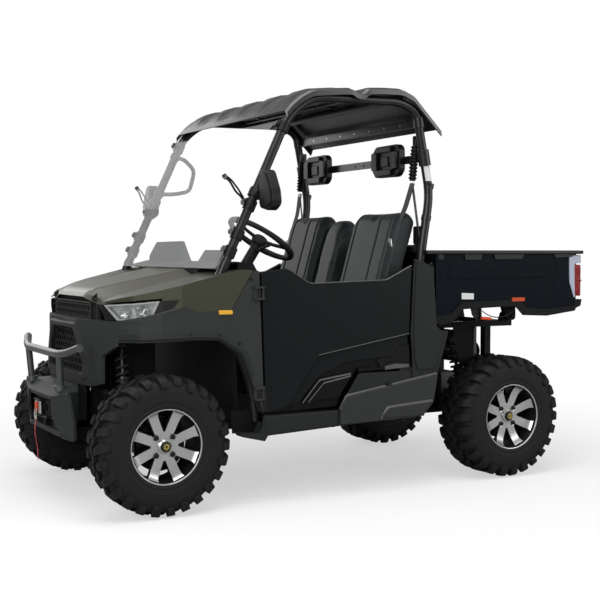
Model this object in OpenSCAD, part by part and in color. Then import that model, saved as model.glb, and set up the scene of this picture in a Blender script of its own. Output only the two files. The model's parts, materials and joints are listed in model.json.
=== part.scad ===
// Side by side utility vehicle: open two-door cab on a tube cage, tipping cargo bed.
// Frame: +X forward, +Y to the left side, +Z up, in mm; the origin is on the ground
// under the middle of the whole outline.
// Places are written once for the standard size and mapped by X(), Y() and Z().

/* [Overall size] */
// distance between the front and rear axle centres
wheelbase = 1920; // [1700:10:2310]
// width over the doors and side panels
body_w = 1380; // [1150:10:1500]
// height of the roof above the ground, body heights follow it
cage_h = 1980; // [1850:10:2150]

/* [Wheels] */
// outer diameter of the tyres
tyre_d = 635; // [560:5:660]
// width of the front tyres
tyre_front_w = 205; // [170:5:215]
// width of the rear tyres
tyre_rear_w = 255; // [210:5:270]
// diameter over the rim lips
rim_d = 340; // [320:5:360]
// diameter of the circle of wheel nuts
lug_pcd = 110; // [100:1:136]

/* [Tubes] */
// diameter of the cage tubes
cage_tube_d = 44; // [36:1:46]
// diameter of the bull bar tube
bar_tube_d = 38; // [32:1:45]

/* [Panels] */
// thickness of the plastic body panels
panel_t = 6; // [5:0.5:8]
// thickness of the cargo bed walls
bed_t = 6; // [5:0.5:8]
// thickness of the windscreen panes
glass_t = 5; // [4:0.5:6]

/* [Cab] */
// outer diameter of the steering wheel
steer_d = 365; // [320:5:390]
// thickness of the seat cushions
seat_t = 95; // [80:1:114]

/* [Fits] */
// radial clearance of a pin in its bore
run_fit = 0.05; // [0.02:0.01:0.1]
// gap between pieces that rest on one another
seat_gap = 0.3; // [0.2:0.1:0.5]

/* [Hidden] */
$fn = 48;
pipe_fn = 20;
kx = wheelbase / 1920;
ky = body_w / 1380;
kz = cage_h / 1980;
rib_lift = (cage_tube_d / 2 + 0.35) / kz;
hook_x = 1318;
hook_r = 26;
tail_end = -1445;
x_shift = -(hook_x * kx + hook_r + tail_end * kx) / 2;
axle_x = 960;
kingpin_y = 530;
wheel_z = tyre_d / 2;
spindle_r = 20;
lip_y = 704;
steer_hub = [330, 357, 1227];
steer_tilt = 33.6;
hood_pin = [1152, 957];
door_pin = [486, 702];
bed_pin = [-1300, 812];
gate_pin = [-1420, 884];
pin_r = 5;
bed_pin_r = 8;
rail_in = 200;
rail_out = 240;
rail_top = 350;
hitch_out = 63.5;
hitch_in = 50.8;
lug_r = 6;

function X(x) = x * kx + x_shift;
function Y(y) = y * ky;
function Z(z) = z * kz;
function at3(p) = [X(p[0]), Y(p[1]), Z(p[2])];
// outline of a strip: a line of points and the same line t lower
function band(pts, t) = concat(pts, [for (i = [len(pts) - 1 : -1 : 0]) [pts[i][0], pts[i][1] - t]]);
// outline of a wall that follows a plan line, t thick on its inner side
function wall(pts, t) = concat(pts, [for (i = [len(pts) - 1 : -1 : 0]) [pts[i][0] - t, pts[i][1] - t]]);
function a_pillar_x(z) = 657 - (z - 1090) * 351 / 743;
function rail_z(x) = 1902 + (190 - x) * 8 / 490;
function glass_lo_x(z) = a_pillar_x(z) + 42;
function glass_up_x(z) = 748 - (z - 1380) * 383 / 398;

module both() {
  children();
  mirror([0, 1, 0]) children();
}

// box between two opposite corners
module blk(a, b) translate(at3(a)) cube([(b[0] - a[0]) * kx, (b[1] - a[1]) * ky, (b[2] - a[2]) * kz]);

// outline in X and Z, drawn out from y0 to y1
module side(pts, y0, y1) translate([0, Y(y1), 0]) rotate([90, 0, 0])
  linear_extrude(height = (y1 - y0) * ky) polygon([for (p = pts) [X(p[0]), Z(p[1])]]);

// outline in Y and Z, drawn out from x0 to x1
module face(pts, x0, x1) translate([X(x0), 0, 0]) rotate([90, 0, 90])
  linear_extrude(height = (x1 - x0) * kx) polygon([for (p = pts) [Y(p[0]), Z(p[1])]]);

// outline in X and Y, drawn out from z0 to z1
module plan(pts, z0, z1) translate([0, 0, Z(z0)])
  linear_extrude(height = (z1 - z0) * kz) polygon([for (p = pts) [X(p[0]), Y(p[1])]]);

// round bar between two real points
module bar(p, q, d) {
  v = q - p;
  translate(p) rotate([0, acos(v[2] / norm(v)), atan2(v[1], v[0])]) cylinder(h = norm(v), d = d);
}

// round bar between two places
module rod(p, q, d) bar(at3(p), at3(q), d);

// bent tube through a line of places: straight bars that stop short in a ball at each bend
module pipe(pts, d) {
  P = [for (p = pts) at3(p)];
  n = len(P);
  U = [for (i = [0 : n - 2]) (P[i + 1] - P[i]) / norm(P[i + 1] - P[i])];
  S = [for (i = [0 : n - 1]) i == 0 || i == n - 1 ? 0 : d / 2 * tan(acos(U[i - 1] * U[i]) / 2) + 0.5];
  for (i = [0 : n - 2]) bar(P[i] + U[i] * S[i], P[i + 1] - U[i] * S[i + 1], d);
  for (i = [1 : n - 2]) ball(P[i], U[i - 1], U[i], sqrt(d * d / 4 + S[i] * S[i]) + 0.3);
}

// ball between two tubes that run along u and v, its poles square to both
module ball(p, u, v, r) {
  a = (u - v) / norm(u - v);
  c = cross(u, v) / norm(cross(u, v));
  b = cross(c, a);
  multmatrix([[a[0], b[0], c[0], p[0]], [a[1], b[1], c[1], p[1]], [a[2], b[2], c[2], p[2]], [0, 0, 0, 1]])
    sphere(r = r);
}

// round post along Y at a place in X and Z
module pin_y(x, y0, y1, z, r) translate([X(x), Y(y0), Z(z)]) rotate([-90, 0, 0])
  cylinder(h = (y1 - y0) * ky, r = r);

// half outlines of the nose, upper and lower level
nose_hi = [[460, 690], [880, 690], [965, 650], [1060, 560], [1150, 400], [1160, 343]];
nose_lo = [[460, 690], [880, 690], [965, 668], [1045, 610], [1108, 512], [1156, 400], [1190, 290],
  [1207, 200]];
roof_top = [[340, 1836], [312, 1868], [262, 1909], [199, 1944], [-12, 1965], [-40, 1942], [-84, 1942],
  [-105, 1972], [-297, 1980], [-365, 1951], [-528, 1790]];

cowl_top = [[560, 1092], [640, 1084], [941, 1010], [1080, 972], [1146, 948]];
arch_front = [[480, 434], [583, 703], [698, 777], [837, 782], [1108, 768]];

// the frame's bars are separate straight pieces that meet face to face at their welds
module main_frame() color("#1c1c1e") {
  both() {
    blk([-1180, rail_in, 300], [1240, rail_out, rail_top]);
    blk([1100, rail_in, rail_top + seat_gap], [1140, rail_out, 790]);
    blk([1010, rail_in, rail_top + seat_gap], [1050, rail_out, 800 - seat_gap]);
    blk([-1330, rail_in, 755], [-440, rail_out, 785]);
    for (x = [-1180, -490.5]) blk([x, rail_in, rail_top + seat_gap], [x + 40, rail_out, 755 - seat_gap]);
    blk([-830, rail_in, rail_top + seat_gap], [-790, rail_out, 728 - seat_gap]);
    for (x = [450, 100]) blk([x, rail_in, rail_top + seat_gap], [x + 40, 620, 380]);
    blk([-450, rail_in, rail_top + seat_gap], [-410, 640, 380]);
    // lug and pin of the bed hinge
    side([[-1330, 785 + seat_gap], [-1260, 785 + seat_gap], [-1280, 832], [-1320, 832]], rail_in, rail_out);
    pin_y(bed_pin[0], 205, 285, bed_pin[1], bed_pin_r);
  }
  for (x = [1180, 920, 700, 40, -500, -980, -1180])
    blk([x, seat_gap - rail_in, 305], [x + 40, rail_in - seat_gap, 345]);
  for (x = [-1330, -480]) blk([x, seat_gap - rail_in, 757], [x + 30, rail_in - seat_gap, 783]);
  // beams that carry the upper ends of the shock absorbers
  blk([1005, -345, 800], [1060, 345, 830]);
  blk([-835, -380, 728], [-785, 380, 755 - seat_gap]);
}

module skid_plate() color("#1a1a1b") blk([-1175, -238, 294], [1180, 238, 300 - seat_gap]);

// square receiver with its pin bore
module hitch_tube() color("#1c1c1e") difference() {
  translate([X(-1330), -hitch_out / 2, Z(330)]) cube([150 * kx - seat_gap, hitch_out, hitch_out]);
  translate([X(-1330) - 1, -hitch_in / 2, Z(330) + (hitch_out - hitch_in) / 2])
    cube([150 * kx + 2, hitch_in, hitch_in]);
  translate([X(-1330) + 45, -40, Z(330) + hitch_out / 2]) rotate([-90, 0, 0]) cylinder(h = 80, r = 8);
}

module roll_cage() color("#151515") {
  both() {
    pipe([[478, 600, 383.4], [500, 600, 560], [596, 602, 800], [690, 622, 1020], [657, 627, 1090],
      [a_pillar_x(1811), 627, 1811], [190, 627, rail_z(190)], [-300, 627, rail_z(-300)], [-405, 627, 1868],
      [-484, 627, 1460], [-433, 627, 1145], [-430, 610, 381.5]], cage_tube_d);
  }
  rod([140, -627, rail_z(140)], [140, 627, rail_z(140)], cage_tube_d - 6);
  rod([-440, -627, 1190], [-440, 627, 1190], cage_tube_d - 6);
  rod([-250, -627, rail_z(-250)], [-250, 627, rail_z(-250)], cage_tube_d - 6);
}

module roof() color("#18181a") {
  side(band(roof_top, panel_t), -662, 662);
  both() side(band(roof_top, 42), 656, 662);
  both() for (r = [[170, 1943], [-270, 1974]])
    side([[r[0] - 20, rail_z(r[0] - 20) + rib_lift], [r[0], rail_z(r[0]) + rib_lift], [r[0], r[1]],
      [r[0] - 20, r[1]]], 560, 657);
  for (y = [-420, 0, 420]) side(band([[250, 1912], [199, 1938], [-12, 1960]], 13), y - 9, y + 9);
}

module floor_tub() color("#202022") {
  blk([-345, -635, 380 + seat_gap], [440, 635, 388]);
  blk([435, -570, 380 + seat_gap], [560, 570, 388]);
  side([[552, 381], [560, 381], [568, 700], [662, 1060], [654, 1060], [560, 702]], -570, 570);
  both() blk([-340, 629, 385], [440, 635, 420]);
}

module seat_box() color("#202022") difference() {
  blk([-330, -600, 388 + seat_gap], [95, 600, 780]);
  blk([-340, -592, 380], [87, 592, 772]);
  for (y = [-560, -180, 200]) blk([80, y, 470], [100, y + 340, 700]);
}

module dashboard() color("#1b1b1c") difference() {
  union() {
    side([[676, 1094], [676, 1100], [560, 1128], [470, 1120], [440, 1070], [455, 930], [600, 900],
      [600, 908],
      [463, 937], [449, 1071], [474, 1112], [560, 1119]], -568, 568);
    side([[640, 1060.3], [676, 1060.3], [676, 1100], [640, 1104]], -388, 388);
    for (y = [-568, -8, 560]) side([[552, 1122], [470, 1116], [444, 1070], [459, 934], [560, 912]],
      y, y + 8);
    face([[-520, 1110], [-505, 1156], [-400, 1226], [-90, 1228], [20, 1110]], 540, 570);
    face([[80, 1110], [190, 1182], [350, 1182], [400, 1165], [430, 1110]], 520, 550);
  }
  column(23 + seat_gap);
}

// steering column line, r is its radius
module column(r) translate(at3(steer_hub)) rotate([0, 180 - steer_tilt, 0]) translate([0, 0, 26])
  cylinder(h = 400, r = r);

module steering_column() color("#121212") {
  column(23);
  translate(at3(steer_hub)) rotate([0, 180 - steer_tilt, 0]) translate([0, 0, -8]) cylinder(h = 40, r = 9);
}

module steering_wheel() color("#141414") translate(at3(steer_hub)) rotate([0, -steer_tilt,
  0]) difference() {
  union() {
    rotate_extrude() translate([steer_d / 2 - 14, 10]) circle(r = 14);
    translate([0, 0, -24]) cylinder(h = 50, r = 34);
    for (a = [0, 120, 240]) rotate([0, 0, a]) translate([20, -16, -6]) cube([steer_d / 2 - 36, 32, 12]);
  }
  translate([0, 0, -30]) cylinder(h = 40, r = 9 + run_fit);
}

module hood() color("#4b4a3c") difference() {
  union() {
    side(band([[682, 1088], [1111, 999], [1150, 984], [1164, 960]], panel_t), -384, 384);
    side(band([[700, 1092], [1080, 1014], [1111, 999]], panel_t), -200, 200);
    both() side(band([[682, 1088], [1111, 999], [1150, 984], [1164, 960]], 30), 384 - panel_t, 384);
    both() side([[1140, 985], [1160, 970], [1160, 950], [1144, 950]], 286, 314);
  }
  pin_y(hood_pin[0], -320, 320, hood_pin[1], pin_r + run_fit);
}

module side_cowls() color("#4f4c39") both() difference() {
  union() {
    intersection() {
      side(band(cowl_top, panel_t), 392, 691);
      plan(concat(nose_hi, [[1160, 392], [460, 392]]), 850, 1110);
    }
    intersection() {
      side(concat([[532, 1088], [643, 907], [955, 907], [958, 968], [1146, 942]],
        [for (i = [4 : -1 : 0]) cowl_top[i]]), 392, 691);
      plan(wall(nose_hi, panel_t), 850, 1110);
    }
  }
  rod([a_pillar_x(1000), 627, 1000], [a_pillar_x(1200), 627, 1200], cage_tube_d + 16);
}

module front_fenders() color("#232427") both() {
  intersection() {
    side([[476, 434], [501, 1086], [528, 1088], [640.5, 906.7], [955, 906.7], [975, 862], [1110, 862],
      [1110, 768],
      [837, 782], [698, 777], [583, 703]], 392, 691);
    plan(wall(nose_lo, panel_t), 400, 1100);
  }
  intersection() {
    side(concat(arch_front, [for (i = [4 : -1 : 0]) [arch_front[i][0] - 3, arch_front[i][1] + panel_t]]),
      361, 691);
    plan([[460, 690], [880, 690], [965, 668], [1045, 610], [1108, 512], [1108, 362], [700, 362], [700, 634],
      [460, 634]], 400, 1100);
  }
  intersection() {
    blk([900, 392, 862 - panel_t], [1110, 691, 862]);
    plan(concat(nose_lo, [[1207, 392], [460, 392]]), 800, 900);
  }
  // door hinge leaves and pins
  for (z = [500, 960]) {
    blk([494, 689, z - 6], [530, 695, z + 56]);
    for (dz = [-6, 46]) blk([door_pin[0] - 6, 694, z + dz], [530, door_pin[1] + 6, z + dz + 10]);
    translate([X(door_pin[0]), Y(door_pin[1]), Z(z - 6)]) cylinder(h = 62 * kz, r = pin_r);
  }
}

module front_fascia() color("#26272a") {
  difference() {
    intersection() {
      face([[-660, 862], [660, 862], [600, 768], [480, 745], [404, 700], [402, 575], [340, 560],
        [-340, 560],
        [-402, 575], [-404, 700], [-480, 745], [-600, 768]], 1110 + seat_gap, 1230);
      union() {
        both() plan(wall(concat(nose_lo, [[1209, 0]]), 12), 500, 900);
        both() plan(wall(concat(nose_lo, [[1209, 0]]), 60), 856, 862);
      }
    }
    face([[-155, 815], [155, 815], [262, 660], [250, 616], [-250, 616], [-262, 660]], 1100, 1300);
  }
  both() {
    for (y = [276, 316])
      side([[1125, 858], [1148, 858], [1148, 944], [1155, 949.5], [1158, 957], [1155, 963.5], [1146, 963.5]],
        y, y + 8);
    pin_y(hood_pin[0], 280, 320, hood_pin[1], pin_r);
    blk([1115, 240.3, 600], [1140, 334, 640]);
    blk([1115, 310, 600], [1176, 334, 640]);
  }
}

module grille_mesh() color("#0c0c0d") {
  face([[-175, 825], [175, 825], [272, 665], [262, 604], [-262, 604], [-272, 665]], 1170, 1174);
  both() blk([1170, 258, 610], [1179.5, 266, 640]);
  face([[-268, 862.3], [268, 862.3], [268, 940], [-268, 940]], 1150, 1154);
}

module front_lamps() color("#c9d2d6") both() {
  intersection() {
    side([[1148, 936], [966, 960], [985, 862.3], [1108, 862.3]], 396, 691);
    plan(wall(nose_hi, 50), 850, 1100);
  }
  blk([640, 690.3, 890], [700, 698, 915]);
}

module bull_bar() color("#3a3c3e") {
  pipe([[1262, -425, 744], [1292, -330, 714], [1307, -250, 705], [1307, 250, 705], [1292, 330, 714],
    [1262, 425, 744]],
    bar_tube_d);
  both() {
    rod([1305, 259, 700], [1292, 237, 480], bar_tube_d - 6);
    blk([1240.3, 200, 302], [1292, 240, 348]);
    blk([1160, 196, 385], [1292, 204, 560]);
  }
  difference() {
    face([[-405, 305], [-323, 530], [-150, 545], [150, 545], [323, 530], [405, 305], [320, 288],
      [-320, 288]],
      1286, 1292);
    face([[-85, 415], [85, 415], [85, 461], [-85, 461]], 1280, 1300);
    both() face([[270, 350], [330, 350], [300, 450], [250, 450]], 1280, 1300);
  }
  blk([1160, -200, 385], [1288, 200, 391]);
}

module winch() color("#151515") {
  pin_y(1222, -150, 150, 436, 44);
  both() blk([1172, 96, 391 + seat_gap], [1266, 150, 470]);
  difference() {
    blk([1292 + seat_gap, -105, 402], [1306, 105, 474]);
    blk([1280, -75, 424], [1310, 75, 452]);
  }
}

module winch_hook() color("#b02a1c") {
  blk([1306.3, -32, 400], [1314, -8, 430]);
  rod([1313, -20, 421], [hook_x, -20, 340], 12);
  difference() {
    pin_y(hook_x, -28, -12, 322, hook_r);
    pin_y(hook_x, -40, 0, 322, 14);
  }
  blk([1314, -32, 160], [1318, -8, 302]);
}

module windscreen_lower() color("#b8ccd0") side([[glass_lo_x(1096), 1096],
  [glass_lo_x(1096) + glass_t, 1098],
  [glass_lo_x(1400) + glass_t, 1400], [glass_lo_x(1400), 1400]], -648, 648);

module windscreen_upper() color("#b8ccd0") translate([X(glass_up_x(1380)), 0, Z(1380)])
  rotate([0, -atan(383 * kx / (398 * kz)), 0]) rotate([90, 0,
    90]) linear_extrude(height = glass_t) difference() {
    union() {
      translate([-Y(600), 40]) square([2 * Y(600), 512]);
      translate([-Y(560), 0]) square([2 * Y(560), 60]);
      for (s = [-1, 1]) translate([s * Y(560), 40]) circle(r = 40);
    }
  }

// sleeve on the front pillar between two heights
module pillar_sleeve(z0, z1, r) difference() {
  rod([a_pillar_x(z0), 627, z0], [a_pillar_x(z1), 627, z1], 2 * r);
  rod([a_pillar_x(z0 - 60), 627, z0 - 60], [a_pillar_x(z1 + 60), 627, z1 + 60], cage_tube_d + 2 * seat_gap);
}

module windscreen_clamps() color("#101010") both() {
  for (z = [1150, 1230, 1365, 1730]) pillar_sleeve(z, z + 44, 30);
  grip = cage_tube_d / 2 + 3.5;
  for (z = [1150, 1230]) side([[a_pillar_x(z + 4) + grip, z + 4], [glass_lo_x(z + 4) - seat_gap, z + 4],
    [glass_lo_x(z + 40) - seat_gap, z + 40], [a_pillar_x(z + 40) + grip, z + 40]], 610, 644);
  side([[a_pillar_x(1735) + grip, 1735], [glass_up_x(1735) - 1.2, 1735], [glass_up_x(1770) - 1.2, 1770],
    [a_pillar_x(1770) + grip, 1770]], 570, 640);
  pipe([[533, 600, 1388], [560, 600, 1440], [590, 585, 1500], [608, 575, 1520]], 11);
}

module grab_handle() color("#131313") difference() {
  union() {
    pipe([[369, -627, 1702], [330, -590, 1690], [268, -584, 1630], [300, -584, 1510], [400, -590, 1492],
      [466, -627, 1494]], 22);
    for (z = [1690, 1482]) rod([a_pillar_x(z), -627, z], [a_pillar_x(z + 24), -627, z + 24],
      cage_tube_d + 10);
  }
  rod([a_pillar_x(1400), -627, 1400], [a_pillar_x(1780), -627, 1780], cage_tube_d + 2 * seat_gap);
}

module mirrors() color("#1a1a1a") both() {
  face([[674, 1378], [764, 1358], [812, 1386], [806, 1440], [748, 1544], [676, 1540]], 442, 500);
  pillar_sleeve(1424, 1460, 30);
  blk([450, 651, 1428], [500, 690, 1456]);
}

module seat_cushions() color("#2b302e") for (s = [[-600, 52], [112, 600]])
  side([[-300, 780 + seat_gap], [-300, 780 + seat_t], [60, 790 + seat_t], [140, 770 + seat_t], [158, 790],
    [90, 780 + seat_gap]], s[0], s[1]);

module seat_backs() color("#2b302e") for (s = [[-600, 52], [112, 600]])
  side([[-300, 781 + seat_t + seat_gap], [-205, 783 + seat_t + seat_gap], [-205, 900], [-338, 1350],
    [-370, 1388], [-420, 1392], [-446, 1368], [-322, 900]], s[0], s[1]);

module headrest_bar() color("#161616") difference() {
  union() {
    blk([-432, -604.7, 1790], [-422, 604.7, 1840]);
    headrest_bar_ends();
  }
  for (y = [-450 : 150 : 450]) rod([-440, y, 1815], [-410, y, 1815], 20);
  for (y = [-44.5, 44.5]) translate([X(-480), y, Z(1641)]) rotate([0, 90, 0]) cylinder(h = 40 * kx, r = 6);
}

// bar behind the headrests with a sleeve on each rear pillar
module headrest_bar_ends() {
  both() {
    blk([-466, -1, 1622], [-458, 600, 1664]);
    difference() {
      rod([-457, 627, 1600], [-441.5, 627, 1680], cage_tube_d + 16);
      rod([-405, 627, 1868], [-484, 627, 1460], cage_tube_d + 2 * seat_gap);
    }
  }
}

module headrests() color("#202322") for (y = [-418, 322])
  side([[-458 + seat_gap, 1568], [-418, 1560], [-402, 1580], [-404, 1704], [-424, 1726],
    [-458 + seat_gap, 1720]], y - 130, y + 130);

module seat_belts() color("#1a1a1a") both() {
  blk([-480, 570, 1212], [-434, 604.4, 1300]);
  side([[-458, 1520], [-444, 1520], [-330, 1250], [-308, 730], [-320, 730], [-341, 1246]], 601.6, 604);
  blk([-470, 596, 1500], [-436, 604.4, 1535]);
  blk([-328, 600.3, 690], [-300, 604, 735]);
}

module rocker_panels() color("#242528") both() {
  side([[483, 392], [466, 326], [82, 343], [-330, 356], [-330, 590], [-36, 590], [46, 474], [60, 421],
    [478, 421]], 690 - panel_t, 690);
  side([[466, 326], [82, 343], [-330, 356], [-330, 356 + panel_t], [82, 343 + panel_t],
    [466, 326 + panel_t]],
    624, 690);
  side([[476, 388], [452, 331], [472, 302], [586, 330], [596, 345], [500, 340]], 624, 690);
  for (x = [-300, 100, 440]) blk([x, 635.3, 340], [x + 10, 688, 410]);
}

module rear_side_panels() color("#232427") both() {
  side([[-338, 358], [-404, 362], [-459, 422], [-488, 561], [-556, 778], [-500, 781], [-472, 792],
    [-472, 1100],
    [-352, 1140], [-333, 770], [-346, 640]], 690 - panel_t, 690);
  side([[-465, 430], [-488, 561], [-556, 778], [-562, 774], [-494, 559], [-471, 430]], 520, 690);
  blk([-455, 637.6, 600], [-360, 688, 612]);
  blk([-455, 648.4, 1080], [-360, 688, 1092]);
}

// one half door on the left side
module door() difference() {
  union() {
    side([[467, 429], [492, 1081], [354, 1096], [235, 1026], [-186, 1038], [-338, 1108], [-323, 770],
      [-338, 611],
      [-27, 605], [59, 489], [74, 436]], 660, 690);
    side([[440, 470], [450, 560], [180, 690], [-290, 750], [-300, 640], [0, 630], [90, 500], [100, 465]],
      689, 694);
    for (z = [505, 965]) {
      translate([X(door_pin[0]), Y(door_pin[1]), Z(z)]) cylinder(h = 40 * kz, r = 10);
      blk([420, 689, z], [470, 697, z + 40]);
      blk([465, 690.6, z], [door_pin[0], 697, z + 40]);
    }
  }
  translate([X(door_pin[0]), Y(door_pin[1]), Z(400)]) cylinder(h = 700 * kz, r = pin_r + run_fit);
  side([[-230, 880], [-120, 880], [-130, 930], [-220, 930]], 680, 700);
}

module left_door() color("#15181d") door();

module right_door() color("#15181d") mirror([0, 1, 0]) door();

module bed_box() color("#10151c") {
  difference() {
    union() {
      both() side([[-481, 1139], [-481, 813], [-590, 827], [-646, 884], [-986, 893], [-1039, 844],
        [-1195, 837], [-1394, 859], [-1400, 1160], [-481, 1160]], 690 - bed_t, 690);
      blk([-481, -686, 813], [-481 + bed_t, 686, 1160]);
      blk([-1400, -686, 896], [-479, 686, 896 + bed_t]);
      both() {
        blk([-1320, 246, 797], [-500, 276, 898]);
        blk([tail_end, 600, 862], [-1396, 690, 930]);
        side([[-1330, 890], [-1330, 800], [-1316, 788], [-1284, 788], [-1270, 800], [-1270, 890]],
          246, 276);
        blk([-1400, 600, 896], [-1394, 690, 1160]);
        pin_y(gate_pin[0], 566, 606, gate_pin[1], pin_r);
      }
    }
    pin_y(bed_pin[0], -300, 300, bed_pin[1], bed_pin_r + run_fit);
  }
}

module bed_rails() color("#121212") {
  both() blk([-1420, 668, 1160 + seat_gap], [-421, 700, 1181]);
  blk([-508, -668.5, 1160 + seat_gap], [-476, 668.5, 1181]);
}

module bed_release() color("#c2432a") both() {
  blk([-812, 640, 840], [-796, 656, 896 - seat_gap]);
  blk([-905, 640, 828], [-796, 656, 846]);
}

module tailgate() color("#10151c") difference() {
  union() {
    blk([-1420, -590, 900], [-1406, 590, 1156]);
    blk([-1426, -540, 940], [-1418, 540, 1120]);
    both() {
      pin_y(gate_pin[0], 572, 588, gate_pin[1], 10);
      blk([-1426, 572, 884], [-1408, 588, 904]);
    }
  }
  pin_y(gate_pin[0], -600, 600, gate_pin[1], pin_r + run_fit);
}

module tail_lights() color("#a01818") both() {
  blk([-1432, 604, 936], [-1400 - seat_gap, 688, 1150]);
  blk([-1010, 690 + seat_gap, 924], [-950, 697, 944]);
}

module suspension_arms() color("#1d1d1f") both() {
  for (s = [1, -1]) {
    difference() {
      union() {
        for (d = [-1, 1]) {
          rod([s * (axle_x + 110 * d), 262, 330], [s * (axle_x + 14 * d), kingpin_y - 14, 229], 26);
          rod([s * (axle_x + 42 * d), 262, 450], [s * (axle_x + 12 * d), kingpin_y - 14, 409], 22);
        }
        translate([X(s * axle_x), Y(kingpin_y), Z(214)]) cylinder(h = 28, r = 22);
        translate([X(s * axle_x), Y(kingpin_y), Z(396)]) cylinder(h = 26, r = 22);
        blk([s * axle_x - 60, 240.3, 436], [s * axle_x + 60, 268, 464]);
        blk([s * axle_x - 124, 240.3, 316], [s * axle_x - 96, 264, 344]);
        blk([s * axle_x + 96, 240.3, 316], [s * axle_x + 124, 264, 344]);
      }
      if (s > 0) translate([X(axle_x), Y(kingpin_y), Z(200)]) cylinder(h = 240, r = 9 + run_fit);
    }
  }
}

module shock_absorbers() color("#0f0f10") both() {
  for (m = [[[1033, 395, 296], [1033, 318, 798]], [[-902, 395, 297], [-812, 360, 725.5]]]) {
    rod(m[0], m[1], 22);
    rod(m[0] + (m[1] - m[0]) * 0.22, m[0] + (m[1] - m[0]) * 0.9, 62);
  }
}

// upright and spindle of a left front wheel
module knuckle() {
  translate([X(axle_x), Y(kingpin_y), Z(214)]) cylinder(h = Z(422) - Z(214), r = 9);
  translate([X(axle_x), Y(kingpin_y), Z(214) + 28.5]) cylinder(h = Z(396) - Z(214) - 29, r = 17);
  pin_y(axle_x, kingpin_y, 668, wheel_z / kz, spindle_r);
  pin_y(axle_x, kingpin_y + 4, 560, wheel_z / kz, 62);
}

module front_left_knuckle() color("#2a2a2c") knuckle();

module front_right_knuckle() color("#2a2a2c") mirror([0, 1, 0]) knuckle();

// tyre of a left wheel: x of its axle and its width
module tyre(x, w) {
  r = tyre_d / 2;
  b = rim_d / 2 - 8;
  translate([X(x), Y(lip_y) + 9, wheel_z]) rotate([90, 0, 0]) rotate_extrude()
    polygon([[b, 10], [b + 12, 4], [r - 95, 0], [r - 34, 2], [r - 8, 16], [r, 34], [r, w - 34],
      [r - 8, w - 16],
      [r - 34, w - 2], [r - 95, w], [b + 12, w - 4], [b, w - 10]]);
}

// rim of a left wheel: x of its axle, width and depth of its disc under the lip
module rim(x, w, d) {
  r = rim_d / 2;
  translate([X(x), Y(lip_y), wheel_z]) rotate([90, 0, 0]) difference() {
    union() {
      rotate_extrude() polygon([[r - 16, 0], [r - 8.3, 0], [r - 8.3, w], [r - 16, w]]);
      translate([0, 0, d]) cylinder(h = 14, r = r - 12);
      translate([0, 0, d]) cylinder(h = 60, r = 48);
      translate([0, 0, 17]) cylinder(h = d, r = 36);
    }
    translate([0, 0, Y(lip_y) - Y(668) - 0.5]) cylinder(h = 200, r = spindle_r + run_fit);
    for (i = [0 : 7]) rotate([0, 0, i * 45]) linear_extrude(height = 100)
      polygon([[62, -9], [r - 24, -30], [r - 20, 0], [r - 24, 30], [62, 9]]);
    for (i = [0 : 3]) rotate([0, 0, i * 90 + 22.5]) translate([lug_pcd / 2, 0, d - 1]) cylinder(h = 90,
      r = lug_r);
  }
}

module front_left_tyre() color("#161616") tyre(axle_x, tyre_front_w);

module front_right_tyre() color("#161616") mirror([0, 1, 0]) tyre(axle_x, tyre_front_w);

module rear_left_tyre() color("#161616") tyre(-axle_x, tyre_rear_w);

module rear_right_tyre() color("#161616") mirror([0, 1, 0]) tyre(-axle_x, tyre_rear_w);

module front_left_rim() color("#b9bcbf") rim(axle_x, tyre_front_w - 45, 31);

module front_right_rim() color("#b9bcbf") mirror([0, 1, 0]) rim(axle_x, tyre_front_w - 45, 31);

module rear_left_rim() color("#b9bcbf") rim(-axle_x, tyre_rear_w - 55, 46);

module rear_right_rim() color("#b9bcbf") mirror([0, 1, 0]) rim(-axle_x, tyre_rear_w - 55, 46);

module engine_block() color("#3a3a3c") {
  blk([-770, -188, 350.3], [-490, 188, 700]);
  both() blk([-700, 180, 350.3], [-560, 230, 366]);
}

module driveline() color("#303134") {
  both() {
    rod([axle_x, 100, 400], [axle_x, 503, 326], 28);
    rod([-axle_x, 100, 400], [-axle_x, 492, 326], 28);
    blk([-axle_x - 40, 490, 264], [-axle_x + 40, 556, 376]);
    translate([X(-axle_x), Y(kingpin_y), Z(214) + 28.4]) cylinder(h = Z(396) - Z(214) - 28.8, r = 17);
    pin_y(-axle_x, 500, 653, wheel_z / kz, spindle_r);
  }
  blk([900, -150, 345.3], [980, 150, 470]);
  blk([-1020, -160, 345.3], [-900, 160, 500]);
}

module muffler() color("#55565a") {
  pin_y(-1080, -190, 190, 612, 66);
  both() blk([-1090, 180, 600], [-1070, 230, 754.7]);
}

main_frame();
skid_plate();
hitch_tube();
roll_cage($fn = pipe_fn);
roof();
floor_tub();
seat_box();
dashboard();
hood();
side_cowls();
front_fenders();
front_fascia();
grille_mesh();
front_lamps();
bull_bar($fn = pipe_fn);
winch();
winch_hook();
windscreen_lower();
windscreen_upper();
windscreen_clamps($fn = pipe_fn);
grab_handle($fn = pipe_fn);
mirrors();
seat_cushions();
seat_backs();
headrest_bar($fn = pipe_fn);
headrests();
seat_belts();
steering_column();
steering_wheel();
rocker_panels();
rear_side_panels();
left_door();
right_door();
bed_box();
bed_rails();
bed_release();
tailgate();
tail_lights();
suspension_arms($fn = pipe_fn);
shock_absorbers();
front_left_knuckle();
front_right_knuckle();
front_left_tyre();
front_right_tyre();
rear_left_tyre();
rear_right_tyre();
front_left_rim();
front_right_rim();
rear_left_rim();
rear_right_rim();
engine_block();
driveline();
muffler();
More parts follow.
